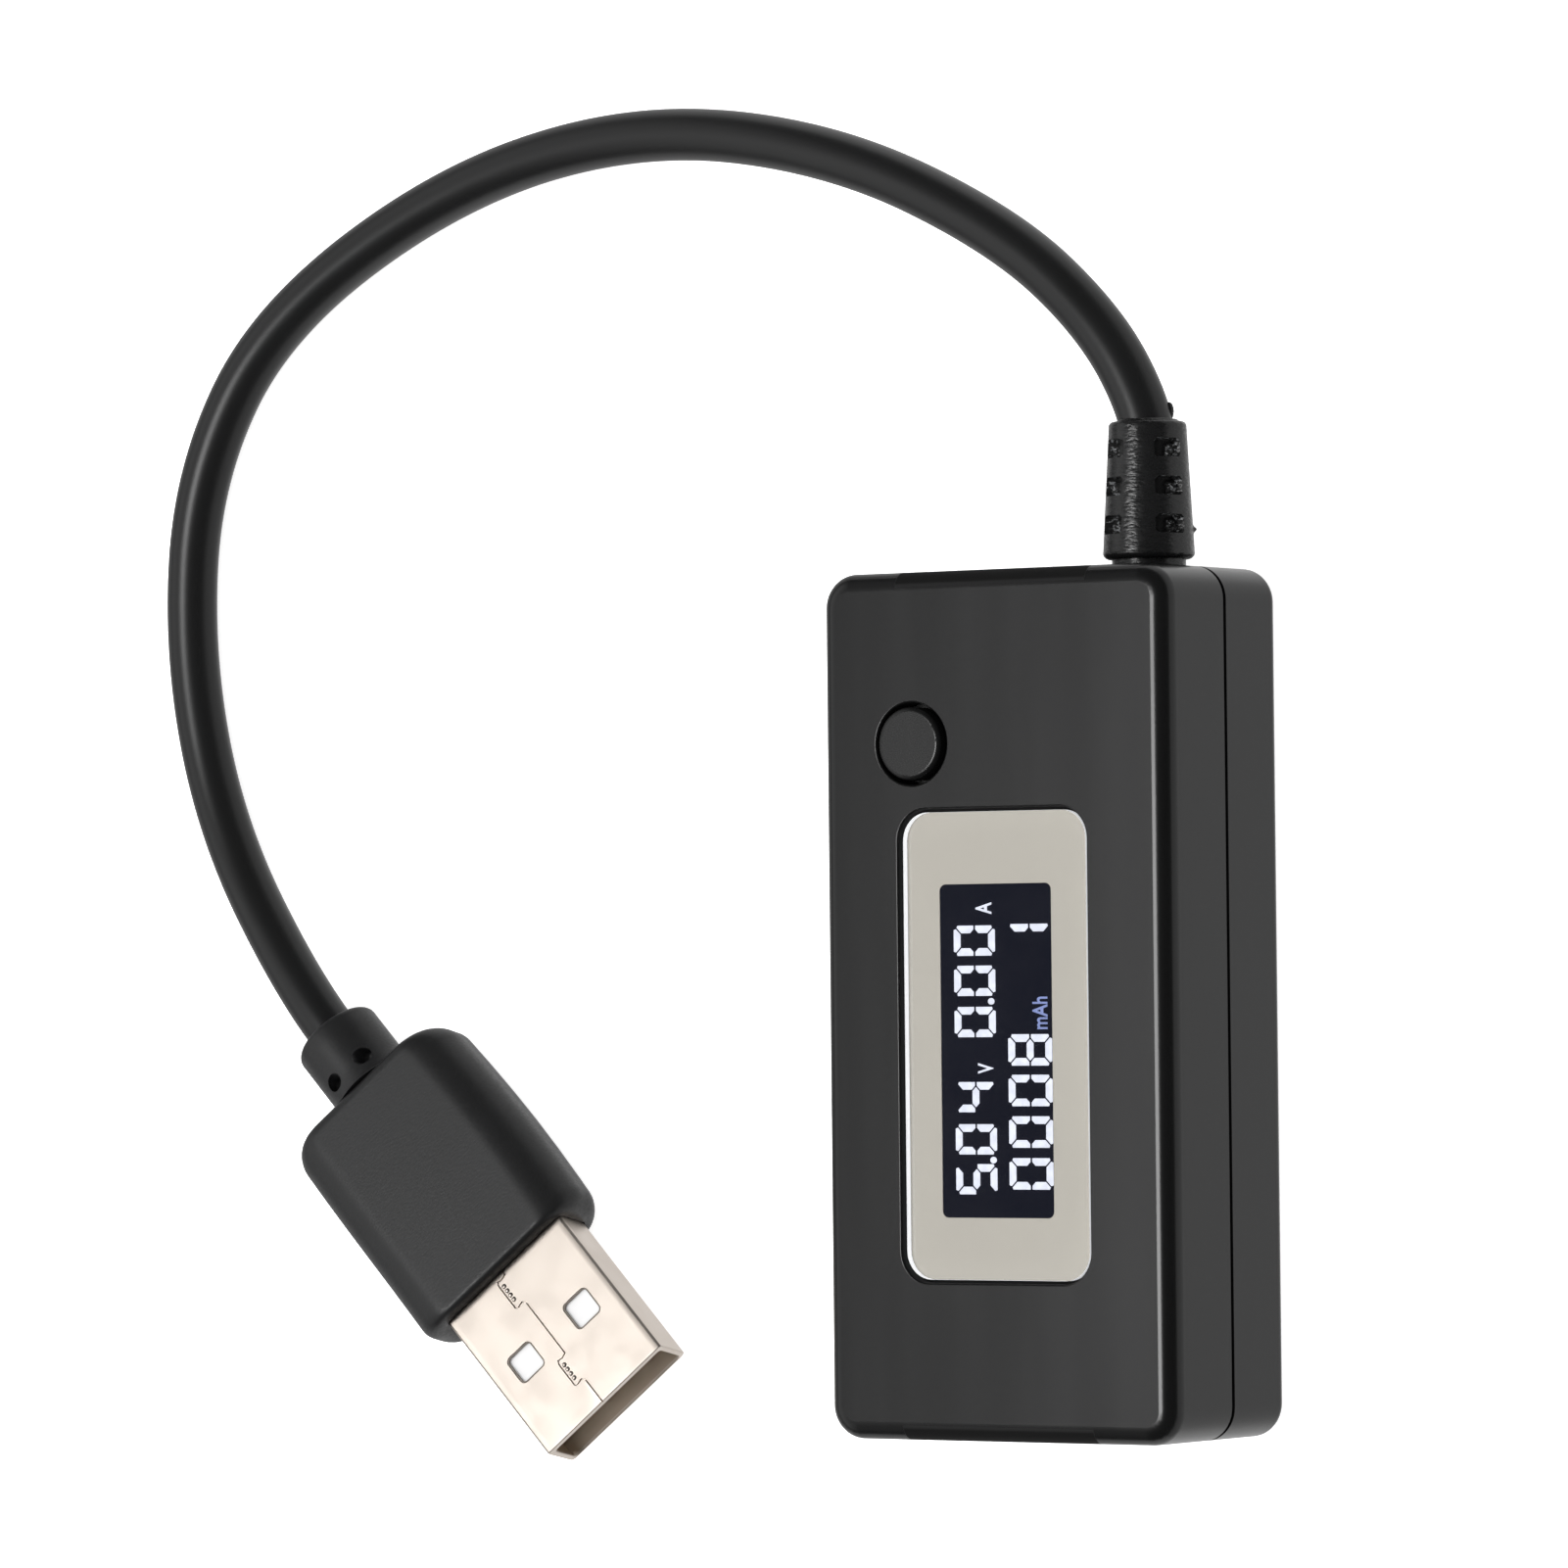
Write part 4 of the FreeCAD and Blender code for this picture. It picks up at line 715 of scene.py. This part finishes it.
# each row: where its heads are, digit height, digit width, and the digits with their left sides
ROWS = [
    (-4.58, 3.55, 2.22, [(-13.9, "5"), (-10.97, "0"), (-7.87, "4"),
                         (-2.35, "0"), (0.68, "0"), (3.63, "0")]),
    (0.06, 3.76, 2.3, [(-13.53, "0"), (-10.47, "0"), (-7.43, "0"), (-4.46, "8"), (3.62, "1")]),
]
POINTS = [(-1.33, -11.38), (-1.39, 0.27)]
# each symbol: its foot, its left side, its width and height, and its light
UNITS = [
    ("V", -1.28, -5.03, 0.76, 1.3, 0),
    ("A", -1.31, 6.68, 0.86, 1.36, 0),
    ("mAh", 3.45, -1.8, 2.38, 1.27, 1),
]


def segment_shapes(width, height, stroke):
    """The seven segments of a digit as outlines, x from its left side and y from its foot."""
    cut = CORNER_CUT
    across = [(cut, height), (width - cut, height), (width - cut / 2 - JOINT, height - cut / 2),
              (width - stroke - JOINT, height - stroke), (stroke + JOINT, height - stroke),
              (cut / 2 + JOINT, height - cut / 2)]
    upright = [(0, height - cut), (0, height / 2 + JOINT), (stroke / 2, height / 2 + JOINT),
               (stroke, height / 2 + stroke / 2 + JOINT), (stroke, height - stroke - JOINT),
               (cut / 2, height - cut / 2 - JOINT)]
    middle = [(stroke / 2 + JOINT, height / 2), (stroke + JOINT, height / 2 + stroke / 2),
              (width - stroke - JOINT, height / 2 + stroke / 2), (width - stroke / 2 - JOINT, height / 2),
              (width - stroke - JOINT, height / 2 - stroke / 2), (stroke + JOINT, height / 2 - stroke / 2)]
    mirrored = [(width - x, y) for x, y in upright]
    return {"a": across, "d": [(x, height - y) for x, y in across], "f": upright, "b": mirrored,
            "e": [(x, height - y) for x, y in upright], "c": [(x, height - y) for x, y in mirrored],
            "g": middle}


def add_text(bm, text, foot, start, width, height, low, high, material_index):
    """Upright sans-serif letters of a size lying in the display, their heads towards -X."""
    data = bpy.data.curves.new("letters", "FONT")
    data.body = text
    data.offset = 0.015
    holder = bpy.data.objects.new("letters", data)
    bpy.context.scene.collection.objects.link(holder)
    graph = bpy.context.evaluated_depsgraph_get()
    flat = bpy.data.meshes.new_from_object(holder.evaluated_get(graph))
    bpy.data.objects.remove(holder)
    letters = bmesh.new()
    letters.from_mesh(flat)
    base = min(vert.co.y for vert in letters.verts)
    tall = max(vert.co.y for vert in letters.verts) - base
    left = min(vert.co.x for vert in letters.verts)
    wide = max(vert.co.x for vert in letters.verts) - left
    bmesh.ops.remove_doubles(letters, verts=letters.verts[:], dist=1e-4)
    made = bmesh.ops.extrude_face_region(letters, geom=letters.faces[:], use_keep_orig=True)
    raised = {item for item in made["geom"] if isinstance(item, bmesh.types.BMVert)}
    copies = {}
    for vert in letters.verts:
        copies[vert] = bm.verts.new((foot - (vert.co.y - base) * height / tall,
                                     start + (vert.co.x - left) * width / wide,
                                     high if vert in raised else low))
    for face in letters.faces:
        bm.faces.new([copies[vert] for vert in face.verts]).material_index = material_index
    letters.free()


def make_readout():
    """The lit digits, points and unit symbols, in the cell between the two glasses."""
    low, high = (corner.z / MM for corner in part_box("lcd_segments"))
    bm = bmesh.new()
    for head, height, width, digits in ROWS:
        shapes = segment_shapes(width, height, STROKE)
        for start, digit in digits:
            for letter in LIT_SEGMENTS[digit]:
                prism(bm, [(head + height - y, start + x) for x, y in shapes[letter]], low, high)
    for x, y in POINTS:
        prism(bm, [(x + 0.27 * math.cos(a), y + 0.24 * math.sin(a))
                   for a in (math.radians(22.5 * step) for step in range(16))], low, high)
    for text, foot, start, width, height, material_index in UNITS:
        add_text(bm, text, foot, start, width, height, low, high, material_index)
    finish_piece("lcd_readout", bm, "case", ["lcd_segments"], [LIT_WHITE, LIT_BLUE])


make_readout()

# ---------------------------------------------------------------- strain relief boot

BOOT_AXIS = (8.6, 7.7)
BOOT_START = 32.6
BOOT_END = 42.75
BOOT_BIG = 3.4
BOOT_SMALL = 2.85
BOOT_NECK = 2.73
BOOT_FOOT_ROUND = 0.55
SLOT_ROWS = (35.13, 37.93, 40.73)
SLOT_WIDE = 1.3
SLOT_SPAN = 42.0
SLOT_MIDDLES = (62.3, 152.3, 242.3, 332.3)
SLOT_FLOOR = 2.28
SLOT_ROUND = 0.3
WALL_STEP = 0.09
NIB_Y = 34.8
NIB_ANGLE = 121.0
NIB_RISE = 0.26
CRUMB_RISE = 0.34
FLANGE_RADIUS = 3.8
FLANGE_THICK = 1.5
NOSE_ROUND = 0.35


def steps_with_edges(low, high, edges, width, spacing):
    """Places from low to high about a spacing apart, with a close pair at each edge."""
    places = {low, high}
    for edge in edges:
        places.update((edge - width / 2, edge + width / 2))
    fixed = sorted(places)
    result = []
    for here, after in zip(fixed, fixed[1:]):
        parts = max(1, round((after - here) / spacing))
        result.extend(here + (after - here) * index / parts for index in range(parts))
    return result + [high]


def boot_radius(y, degrees):
    """The boot's outer radius at a place along it and an angle from +Z towards +X."""
    share = (y - BOOT_START) / (BOOT_END - BOOT_START)
    radius = BOOT_BIG + (BOOT_SMALL - BOOT_BIG) * share
    for row in SLOT_ROWS:
        for middle in SLOT_MIDDLES:
            away = (degrees - middle + 180.0) % 360.0 - 180.0
            past_x = max(0.0, math.radians(abs(away) - SLOT_SPAN / 2) * BOOT_SMALL + SLOT_ROUND)
            past_y = max(0.0, abs(y - row) - SLOT_WIDE / 2 + SLOT_ROUND)
            if math.hypot(past_x, past_y) < SLOT_ROUND:
                outward = away if middle in (SLOT_MIDDLES[0], SLOT_MIDDLES[2]) else -away
                lump = CRUMB_RISE / (1.0 + math.exp(-(outward - 1.0) / 1.8))
                lump *= min(1.0, max(0.0, (row + 0.42 - y) / 0.3))
                crumb = (math.sin(15.0 * y + 0.35 * degrees) * math.sin(0.71 * degrees + 3.0 * y)
                         + 0.4 * math.sin(29.0 * y + 1.1 * degrees))
                return SLOT_FLOOR + lump * (1.0 + 0.36 * crumb)
    nib = math.exp(-((y - NIB_Y) / 0.2) ** 2 - ((degrees - NIB_ANGLE) / 4.5) ** 2)
    return radius + NIB_RISE * nib


def make_boot():
    """The tapered, slotted boot with its neck in the wall and its flange inside the case."""
    edges_y = [row + side * SLOT_WIDE / 2 for row in SLOT_ROWS for side in (-1, 1)]
    edges_a = sorted((middle + side * SLOT_SPAN / 2) % 360.0 for middle in SLOT_MIDDLES for side in (-1, 1))
    angles = steps_with_edges(edges_a[0] - 0.8, edges_a[0] + 359.2, edges_a[1:], 1.6, 1.5)[:-1]
    foot = BOOT_FOOT_ROUND
    places = steps_with_edges(BOOT_START + foot, BOOT_END - NOSE_ROUND, edges_y, WALL_STEP, 0.08)
    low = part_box("cord_boot")[0].y / MM
    profile = [(low, 2.1), (low, FLANGE_RADIUS - 0.05), (low + 0.05, FLANGE_RADIUS),
               (low + FLANGE_THICK, FLANGE_RADIUS), (low + FLANGE_THICK, BOOT_NECK),
               (BOOT_START + 0.1, BOOT_NECK), (BOOT_START, BOOT_BIG - foot)]
    profile += [(BOOT_START + foot - foot * math.sin(a), BOOT_BIG - foot + foot * math.cos(a))
                for a in (math.radians(75 - 15 * step) for step in range(5))]
    nose = [(BOOT_END - NOSE_ROUND + NOSE_ROUND * math.sin(a),
             BOOT_SMALL - 0.33 + NOSE_ROUND * math.cos(a))
            for a in (math.radians(18 * step) for step in range(1, 6))]
    nose += [(BOOT_END, 2.3), (BOOT_END + 0.12, 2.24), (BOOT_END + 0.16, 2.15), (BOOT_END + 0.08, 2.08),
             (BOOT_END - 0.3, 2.05), (low + 0.3, 2.03)]

    def ring(y, radius_at):
        points = []
        for degrees in angles:
            turned = math.radians(degrees)
            radius = radius_at(y, degrees)
            points.append((BOOT_AXIS[0] + radius * math.sin(turned), y,
                           BOOT_AXIS[1] + radius * math.cos(turned)))
        return points

    rings = [ring(y, lambda _y, _a, r=r: r) for y, r in profile]
    rings += [ring(y, boot_radius) for y in places]
    rings += [ring(y, lambda _y, _a, r=r: r) for y, r in nose]
    bm = bmesh.new()
    loft(bm, rings + [rings[0]])
    bmesh.ops.remove_doubles(bm, verts=bm.verts[:], dist=1e-5)
    turned = math.radians(NIB_ANGLE)
    lump = []
    for step in range(7):
        a = math.radians(15 + 25 * step)
        middle = (BOOT_AXIS[0] + 1.6 * math.sin(turned), BOOT_AXIS[1] + 1.6 * math.cos(turned))
        lump.append([(x, BOOT_END + 0.75 - 0.7 * math.cos(a), z)
                     for x, z in arc_points(middle, 0.36 * math.sin(a), 0, 337.5, 15)])
    loft(bm, lump, start_cap=True, end_cap=True)
    for face in bm.faces:
        spot = face.calc_center_median()
        away = math.hypot(spot.x - BOOT_AXIS[0], spot.z - BOOT_AXIS[1])
        if BOOT_START + 1.5 < spot.y < BOOT_END - 1.0 and 2.1 < away < BOOT_SMALL:
            # in the slots: the floors take painted shade, the lumps take painted glints
            face.material_index = 1 if away < SLOT_FLOOR + 0.15 else 2
    return finish_piece("strain_relief", bm, "case", ["cord_boot"],
                        [BOOT_BLACK, BOOT_SLOT_SHADE, BOOT_CRUMB_GLINTS], 40.0)


boot = make_boot()

# ---------------------------------------------------------------- plug

PLUG_PLACE = mm(-50.63, -20.57, 5.39)
PLUG_TURN = (Quaternion((0, 0, 1), math.radians(-135.95)) @ Quaternion((1, 0, 0), math.radians(1.26))
             @ Quaternion((0, 1, 0), math.radians(-12.8)))
PLUG = Matrix.Translation(PLUG_PLACE) @ PLUG_TURN.to_matrix().to_4x4()
SHELL_WIDTH = 12.4
SHELL_HEIGHT = 4.5
SHELL_WALL = 0.3
SHELL_CORNER = 0.36
SHELL_OUT = 13.6
SHELL_IN = 6.0
HOLE = 2.5
HOLE_CORNER = 0.45
HOLE_X = 3.07
HOLE_Y = 6.8
GRIP_PLAN = ((-19.7, 16.4, 0.02), (-9.0, 17.0, -0.1), (0.0, 16.8, 0.1))
GRIP_THICK = 7.8
GRIP_LENGTH = 19.7
BACK_ROUND = (1.9, 0.8)
FRONT_ROUND = (1.5, 0.35)
NECK_SHIFT = -0.2
TAIL = 25.7
PIT_PLACE = 21.3
GRIP_SIDE = 3.3
NECK_RADIUS = 3.5
RING_COUNT = 144


def swept_strip(path, width):
    """The outline of a strip of a width that follows a path in a plane."""
    left = []
    right = []
    for index, point in enumerate(path):
        here = Vector(point)
        back = (here - Vector(path[index - 1])).normalized() if index else None
        ahead = (Vector(path[index + 1]) - here).normalized() if index < len(path) - 1 else None
        along = ((back or ahead) + (ahead or back)).normalized()
        side = Vector((-along.y, along.x))
        stretch = 1.0 / max(0.5, along.dot(ahead or back))
        left.append(here + side * width / 2 * stretch)
        right.append(here - side * width / 2 * stretch)
    return [tuple(point) for point in left + right[::-1]]


SEAM_X = 0.15
TAB_DEPTH = 0.95
TABS = ((0.45, 3.0), (8.7, 11.1))


def seam_path():
    """The joint in the shell's upper face, stepping round two locking tabs."""
    path = [(SEAM_X, -SHELL_IN - 0.2)]
    for start, end in TABS:
        path += [(SEAM_X, start - 0.18), (SEAM_X + TAB_DEPTH * 0.5, start - 0.02),
                 (SEAM_X + TAB_DEPTH * 0.86, start - 0.1), (SEAM_X + TAB_DEPTH, start + 0.15),
                 (SEAM_X + TAB_DEPTH, end - 0.12), (SEAM_X + TAB_DEPTH * 0.85, end + 0.08),
                 (SEAM_X + TAB_DEPTH * 0.3, end - 0.06), (SEAM_X, end + 0.16)]
    path.append((SEAM_X, SHELL_OUT + 0.2))
    return path


def add_bump(bm, x, y, z, radius, rise):
    """A small smooth bump pressed up from a flat face."""
    rings = []
    for level, share in ((-0.05, 1.0), (0.0, 1.0), (0.45, 0.88), (0.8, 0.6), (0.97, 0.25)):
        height = z + (level * rise if level > 0 else level)
        rings.append([(a, b, height) for a, b in arc_points((x, y), radius * share, 0, 337.5, 15)])
    loft(bm, rings, start_cap=True, end_cap=True)


def add_hole_shade_rim(bm, x, y, face):
    """A dark ring just inside a latch hole, painted shade along the hole's edge."""
    rings = []
    for height, inset in ((2.0, 0.005), (2.2, 0.005), (2.2, 0.1), (2.0, 0.1)):
        outline = rounded_outline(HOLE - 2 * inset, HOLE - 2 * inset, HOLE_CORNER - inset, 6)
        rings.append([(x + a, y + b, face * height) for a, b in outline])
    made = loft(bm, rings + [rings[0]])
    for item in made:
        item.material_index = 1
    bmesh.ops.remove_doubles(bm, verts=list({corner for item in made for corner in item.verts}), dist=1e-5)


def make_plug_shell():
    """The folded shell: rounded corners, a dovetailed seam and four latch holes."""
    bm = bmesh.new()
    outer = even_outline(SHELL_WIDTH, SHELL_HEIGHT, SHELL_CORNER, RING_COUNT)
    inner = even_outline(SHELL_WIDTH - 2 * SHELL_WALL, SHELL_HEIGHT - 2 * SHELL_WALL,
                         SHELL_CORNER - SHELL_WALL, RING_COUNT)

    def ring(outline, y, inset=0.0, drop=0.0):
        scale_x = 1 - 2 * inset / SHELL_WIDTH
        scale_z = 1 - 2 * inset / SHELL_HEIGHT
        return [(x * scale_x, y, z * scale_z - drop) for x, z in outline]

    rings = [ring(outer, -SHELL_IN), ring(outer, SHELL_OUT - 0.12), ring(outer, SHELL_OUT - 0.04, 0.03),
             ring(outer, SHELL_OUT, 0.08), ring(outer, SHELL_OUT, 0.38, 0.18),
             ring(outer, SHELL_OUT - 0.05, 0.46, 0.2), ring(outer, SHELL_OUT - 0.2, 0.48, 0.2),
             ring(inner, SHELL_OUT - 0.7), ring(inner, -SHELL_IN)]
    loft(bm, rings + [rings[0]])
    bmesh.ops.remove_doubles(bm, verts=bm.verts[:], dist=1e-5)
    cutters = []
    for side in (-1, 1):
        for face in (-1, 1):
            hole = bmesh.new()
            rings = []
            for height, grow in ((1.5, 0.0), (2.18, 0.0), (2.24, 0.03), (2.26, 0.08), (3.0, 0.6)):
                outline = rounded_outline(HOLE + 2 * grow, HOLE + 2 * grow, HOLE_CORNER + grow, 6)
                rings.append([(side * HOLE_X + x, HOLE_Y + y, face * height) for x, y in outline])
            loft(hole, rings, start_cap=True, end_cap=True)
            cutters.append(hole)
    seam = bmesh.new()
    prism(seam, swept_strip(seam_path(), 0.12), SHELL_HEIGHT / 2 - 0.2, 3.0)
    cutters.append(seam)
    result = carve("plug_metal", bm, cutters)
    # inner faces: the mouth's lip stays plain steel, deeper inside takes painted shade
    for face in result.faces:
        spot = face.calc_center_median()
        wall = SHELL_WALL * 0.9
        if abs(spot.x) < SHELL_WIDTH / 2 - wall and abs(spot.z) < SHELL_HEIGHT / 2 - wall:
            face.material_index = 0 if spot.y > SHELL_OUT - 0.3 else 2
    for start, _end in TABS:
        for step in range(4):
            add_bump(result, SEAM_X + 0.62, start + 0.5 + step * 0.45, SHELL_HEIGHT / 2, 0.2, 0.11)
    # dark rings of painted shade just inside the latch holes
    for side in (-1, 1):
        for face in (-1, 1):
            add_hole_shade_rim(result, side * HOLE_X, HOLE_Y, face)
    return finish_piece("usb_plug_shell", result, "case", ["plug_shell"],
                        [PLUG_STEEL, HOLE_RIM_SHADE, PLUG_INSIDE_SHADE], 30.0, PLUG)


def grip_plan(y):
    """The grip's width and sideways shift at a place along it: slightly full in the middle."""
    for (start, *low), (end, *high) in zip(GRIP_PLAN, GRIP_PLAN[1:]):
        if y <= end:
            break
    share = min(1.0, max(0.0, (y - start) / (end - start)))
    eased = math.sin(share * math.pi / 2) if start < -10 else 1 - math.cos(share * math.pi / 2)
    return [a + (b - a) * eased for a, b in zip(low, high)]


def make_grip():
    """The moulded grip: flat faces, round sides, a necked back with two pits, and the shell's slot."""
    bm = bmesh.new()

    def ring(y, width, height, radius, shift):
        outline = even_outline(width, height, radius, RING_COUNT)
        return [(shift + x, y, z) for x, z in outline]

    def round_ring(y, radius):
        return ring(y, 2 * radius, 2 * radius, radius, NECK_SHIFT)

    def body_ring(y, inset_x, inset_z):
        radius = max(0.4, GRIP_SIDE - (inset_x + inset_z) / 2)
        width, shift = grip_plan(y)
        return ring(y, width - 2 * inset_x, GRIP_THICK - 2 * inset_z, radius, shift)

    def rounded_body(end, way, rounds, angle):
        """One ring of a rounded end: the plan's corners are larger than the edge seen from the side."""
        wide, thick = rounds
        depth = wide * (1 - math.cos(angle))
        share = min(1.0, depth / thick)
        return body_ring(end + way * depth, wide * (1 - math.sin(angle)),
                         thick * (1 - math.sqrt(1 - (1 - share) ** 2)))

    tail = -TAIL
    soft = 0.5
    fillet = 0.35
    rings = [round_ring(tail, 0.9), round_ring(tail, 1.9), round_ring(tail, 2.4)]
    for step in range(6):
        a = math.radians(18 * step)
        rings.append(round_ring(tail + soft - soft * math.cos(a), NECK_RADIUS - soft + soft * math.sin(a)))
    for share in (0.25, 0.5, 0.75):
        rings.append(round_ring(tail + soft + (TAIL - GRIP_LENGTH - soft - 0.4) * share, NECK_RADIUS))
    for step in range(4):
        a = math.radians(30 * step)
        rings.append(round_ring(-GRIP_LENGTH - fillet + fillet * math.sin(a),
                                NECK_RADIUS + fillet - fillet * math.cos(a)))
    for step in range(13):
        a = math.radians(90 * step / 12)
        rings.append(rounded_body(-GRIP_LENGTH, 1, BACK_ROUND, a))
    for y in (-15.0, -12.0, -9.0, -6.0, -3.0):
        rings.append(body_ring(y, 0.0, 0.0))
    for step in range(9):
        a = math.radians(90 - 90 * step / 8)
        rings.append(rounded_body(0.0, -1, FRONT_ROUND, a))
    rings.append(body_ring(-0.02, FRONT_ROUND[0] + 0.3, FRONT_ROUND[1] + 0.5))
    gap = 0.05
    for y in (-0.10, -SHELL_IN):
        rings.append(ring(y, SHELL_WIDTH + 2 * gap, SHELL_HEIGHT + 2 * gap, SHELL_CORNER + gap, 0.0))
    loft(bm, rings, start_cap=True, end_cap=True)
    bmesh.ops.remove_doubles(bm, verts=bm.verts[:], dist=1e-5)
    cutters = []
    for side in (-1, 1):
        pit = bmesh.new()
        centre = (NECK_SHIFT + side * 1.6, -PIT_PLACE)
        levels = [(1.5, 0.3), (1.6, 0.5), (1.8, 0.62), (3.15, 0.66), (3.4, 0.80), (4.2, 0.85)]
        loft(pit, [[(x, y, z) for x, y in arc_points(centre, radius, 0, 360 - 15, 23)]
                   for z, radius in levels], start_cap=True, end_cap=True)
        cutters.append(pit)
    result = carve("grip_body", bm, cutters)
    return finish_piece("plug_grip", result, "case", ["plug_overmould"], [GRIP_BLACK],
                        40.0, PLUG)


plug_shell = make_plug_shell()
grip = make_grip()

# ---------------------------------------------------------------- socket shell

SOCKET_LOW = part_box("socket_shell")[0]
SOCKET_WIDTH = 13.1
SOCKET_HEIGHT = 5.7
SOCKET_DEPTH = 13.4
SOCKET_Z = 7.7
SPRING_WIDE = 2.2
SPRING_LONG = 6.6
SPRING_X = 3.2
SPRING_PLACE = 5.6
TAB_STARTS = (-28.5, -20.5)
TAB_LOW = 8.5
TAB_HIGH = 8.8


def make_socket_shell():
    """The socket's shell with a soft lip, its soldering tabs and its four contact springs."""
    mouth = SOCKET_LOW.y / MM
    bm = bmesh.new()

    def ring(y, inset, corner):
        outline = even_outline(SOCKET_WIDTH - 2 * inset, SOCKET_HEIGHT - 2 * inset, corner, RING_COUNT)
        return [(x, y, SOCKET_Z + z) for x, z in outline]

    rings = [ring(mouth + SOCKET_DEPTH, 0.0, 0.8), ring(mouth + 0.12, 0.0, 0.8),
             ring(mouth + 0.03, 0.04, 0.76), ring(mouth, 0.12, 0.68), ring(mouth + 0.05, 0.24, 0.56),
             ring(mouth + 0.2, 0.3, 0.5), ring(mouth + SOCKET_DEPTH, 0.3, 0.5)]
    loft(bm, rings + [rings[0]])
    bmesh.ops.remove_doubles(bm, verts=bm.verts[:], dist=1e-5)
    cutters = []
    springs = bmesh.new()
    path = [(2.2, -0.15), (3.2, -0.2), (5.2, -0.62), (6.8, -0.85), (7.8, -0.75), (8.6, -0.45)]
    for face in (-1, 1):
        for side in (-1, 1):
            window = bmesh.new()
            outline = [(side * SPRING_X + x, mouth + SPRING_PLACE + y)
                       for x, y in rounded_outline(SPRING_WIDE + 0.6, SPRING_LONG + 0.4, 0.3, 4)]
            prism(window, outline, *sorted((SOCKET_Z + face * 1.8, SOCKET_Z + face * 3.2)))
            cutters.append(window)
            rows = []
            for thick in (0.0, 0.25):
                away = SOCKET_HEIGHT / 2 + 0.12 - thick
                rows.append([(side * SPRING_X, mouth + y, SOCKET_Z + face * (away + dip))
                             for y, dip in path])
            band = [[(x + half, y, z) for half in (-SPRING_WIDE / 2, SPRING_WIDE / 2)
                     for x, y, z in ((rows[0][i], rows[1][i]) if half < 0 else (rows[1][i], rows[0][i]))]
                    for i in range(len(path))]
            loft(springs, band, start_cap=True, end_cap=True)
    tabs = bmesh.new()
    for side in (-1, 1):
        for y in TAB_STARTS:
            outline = [(side * (SOCKET_WIDTH / 2 + 0.7) + a, y + 1.0 + b)
                       for a, b in rounded_outline(1.8, 2.0, 0.3, 4)]
            prism(tabs, outline, TAB_LOW, TAB_HIGH)
    result = carve("socket_metal", bm, cutters)
    for extra in (springs, tabs):
        bmesh.ops.recalc_face_normals(extra, faces=extra.faces[:])
        mesh = bpy.data.meshes.new("extra")
        extra.to_mesh(mesh)
        extra.free()
        result.from_mesh(mesh)
    return finish_piece("usb_socket_shell", result, "case", ["socket_shell"],
                        [SOCKET_STEEL], 30.0)


make_socket_shell()

# ---------------------------------------------------------------- finish

bpy.context.view_layer.update()
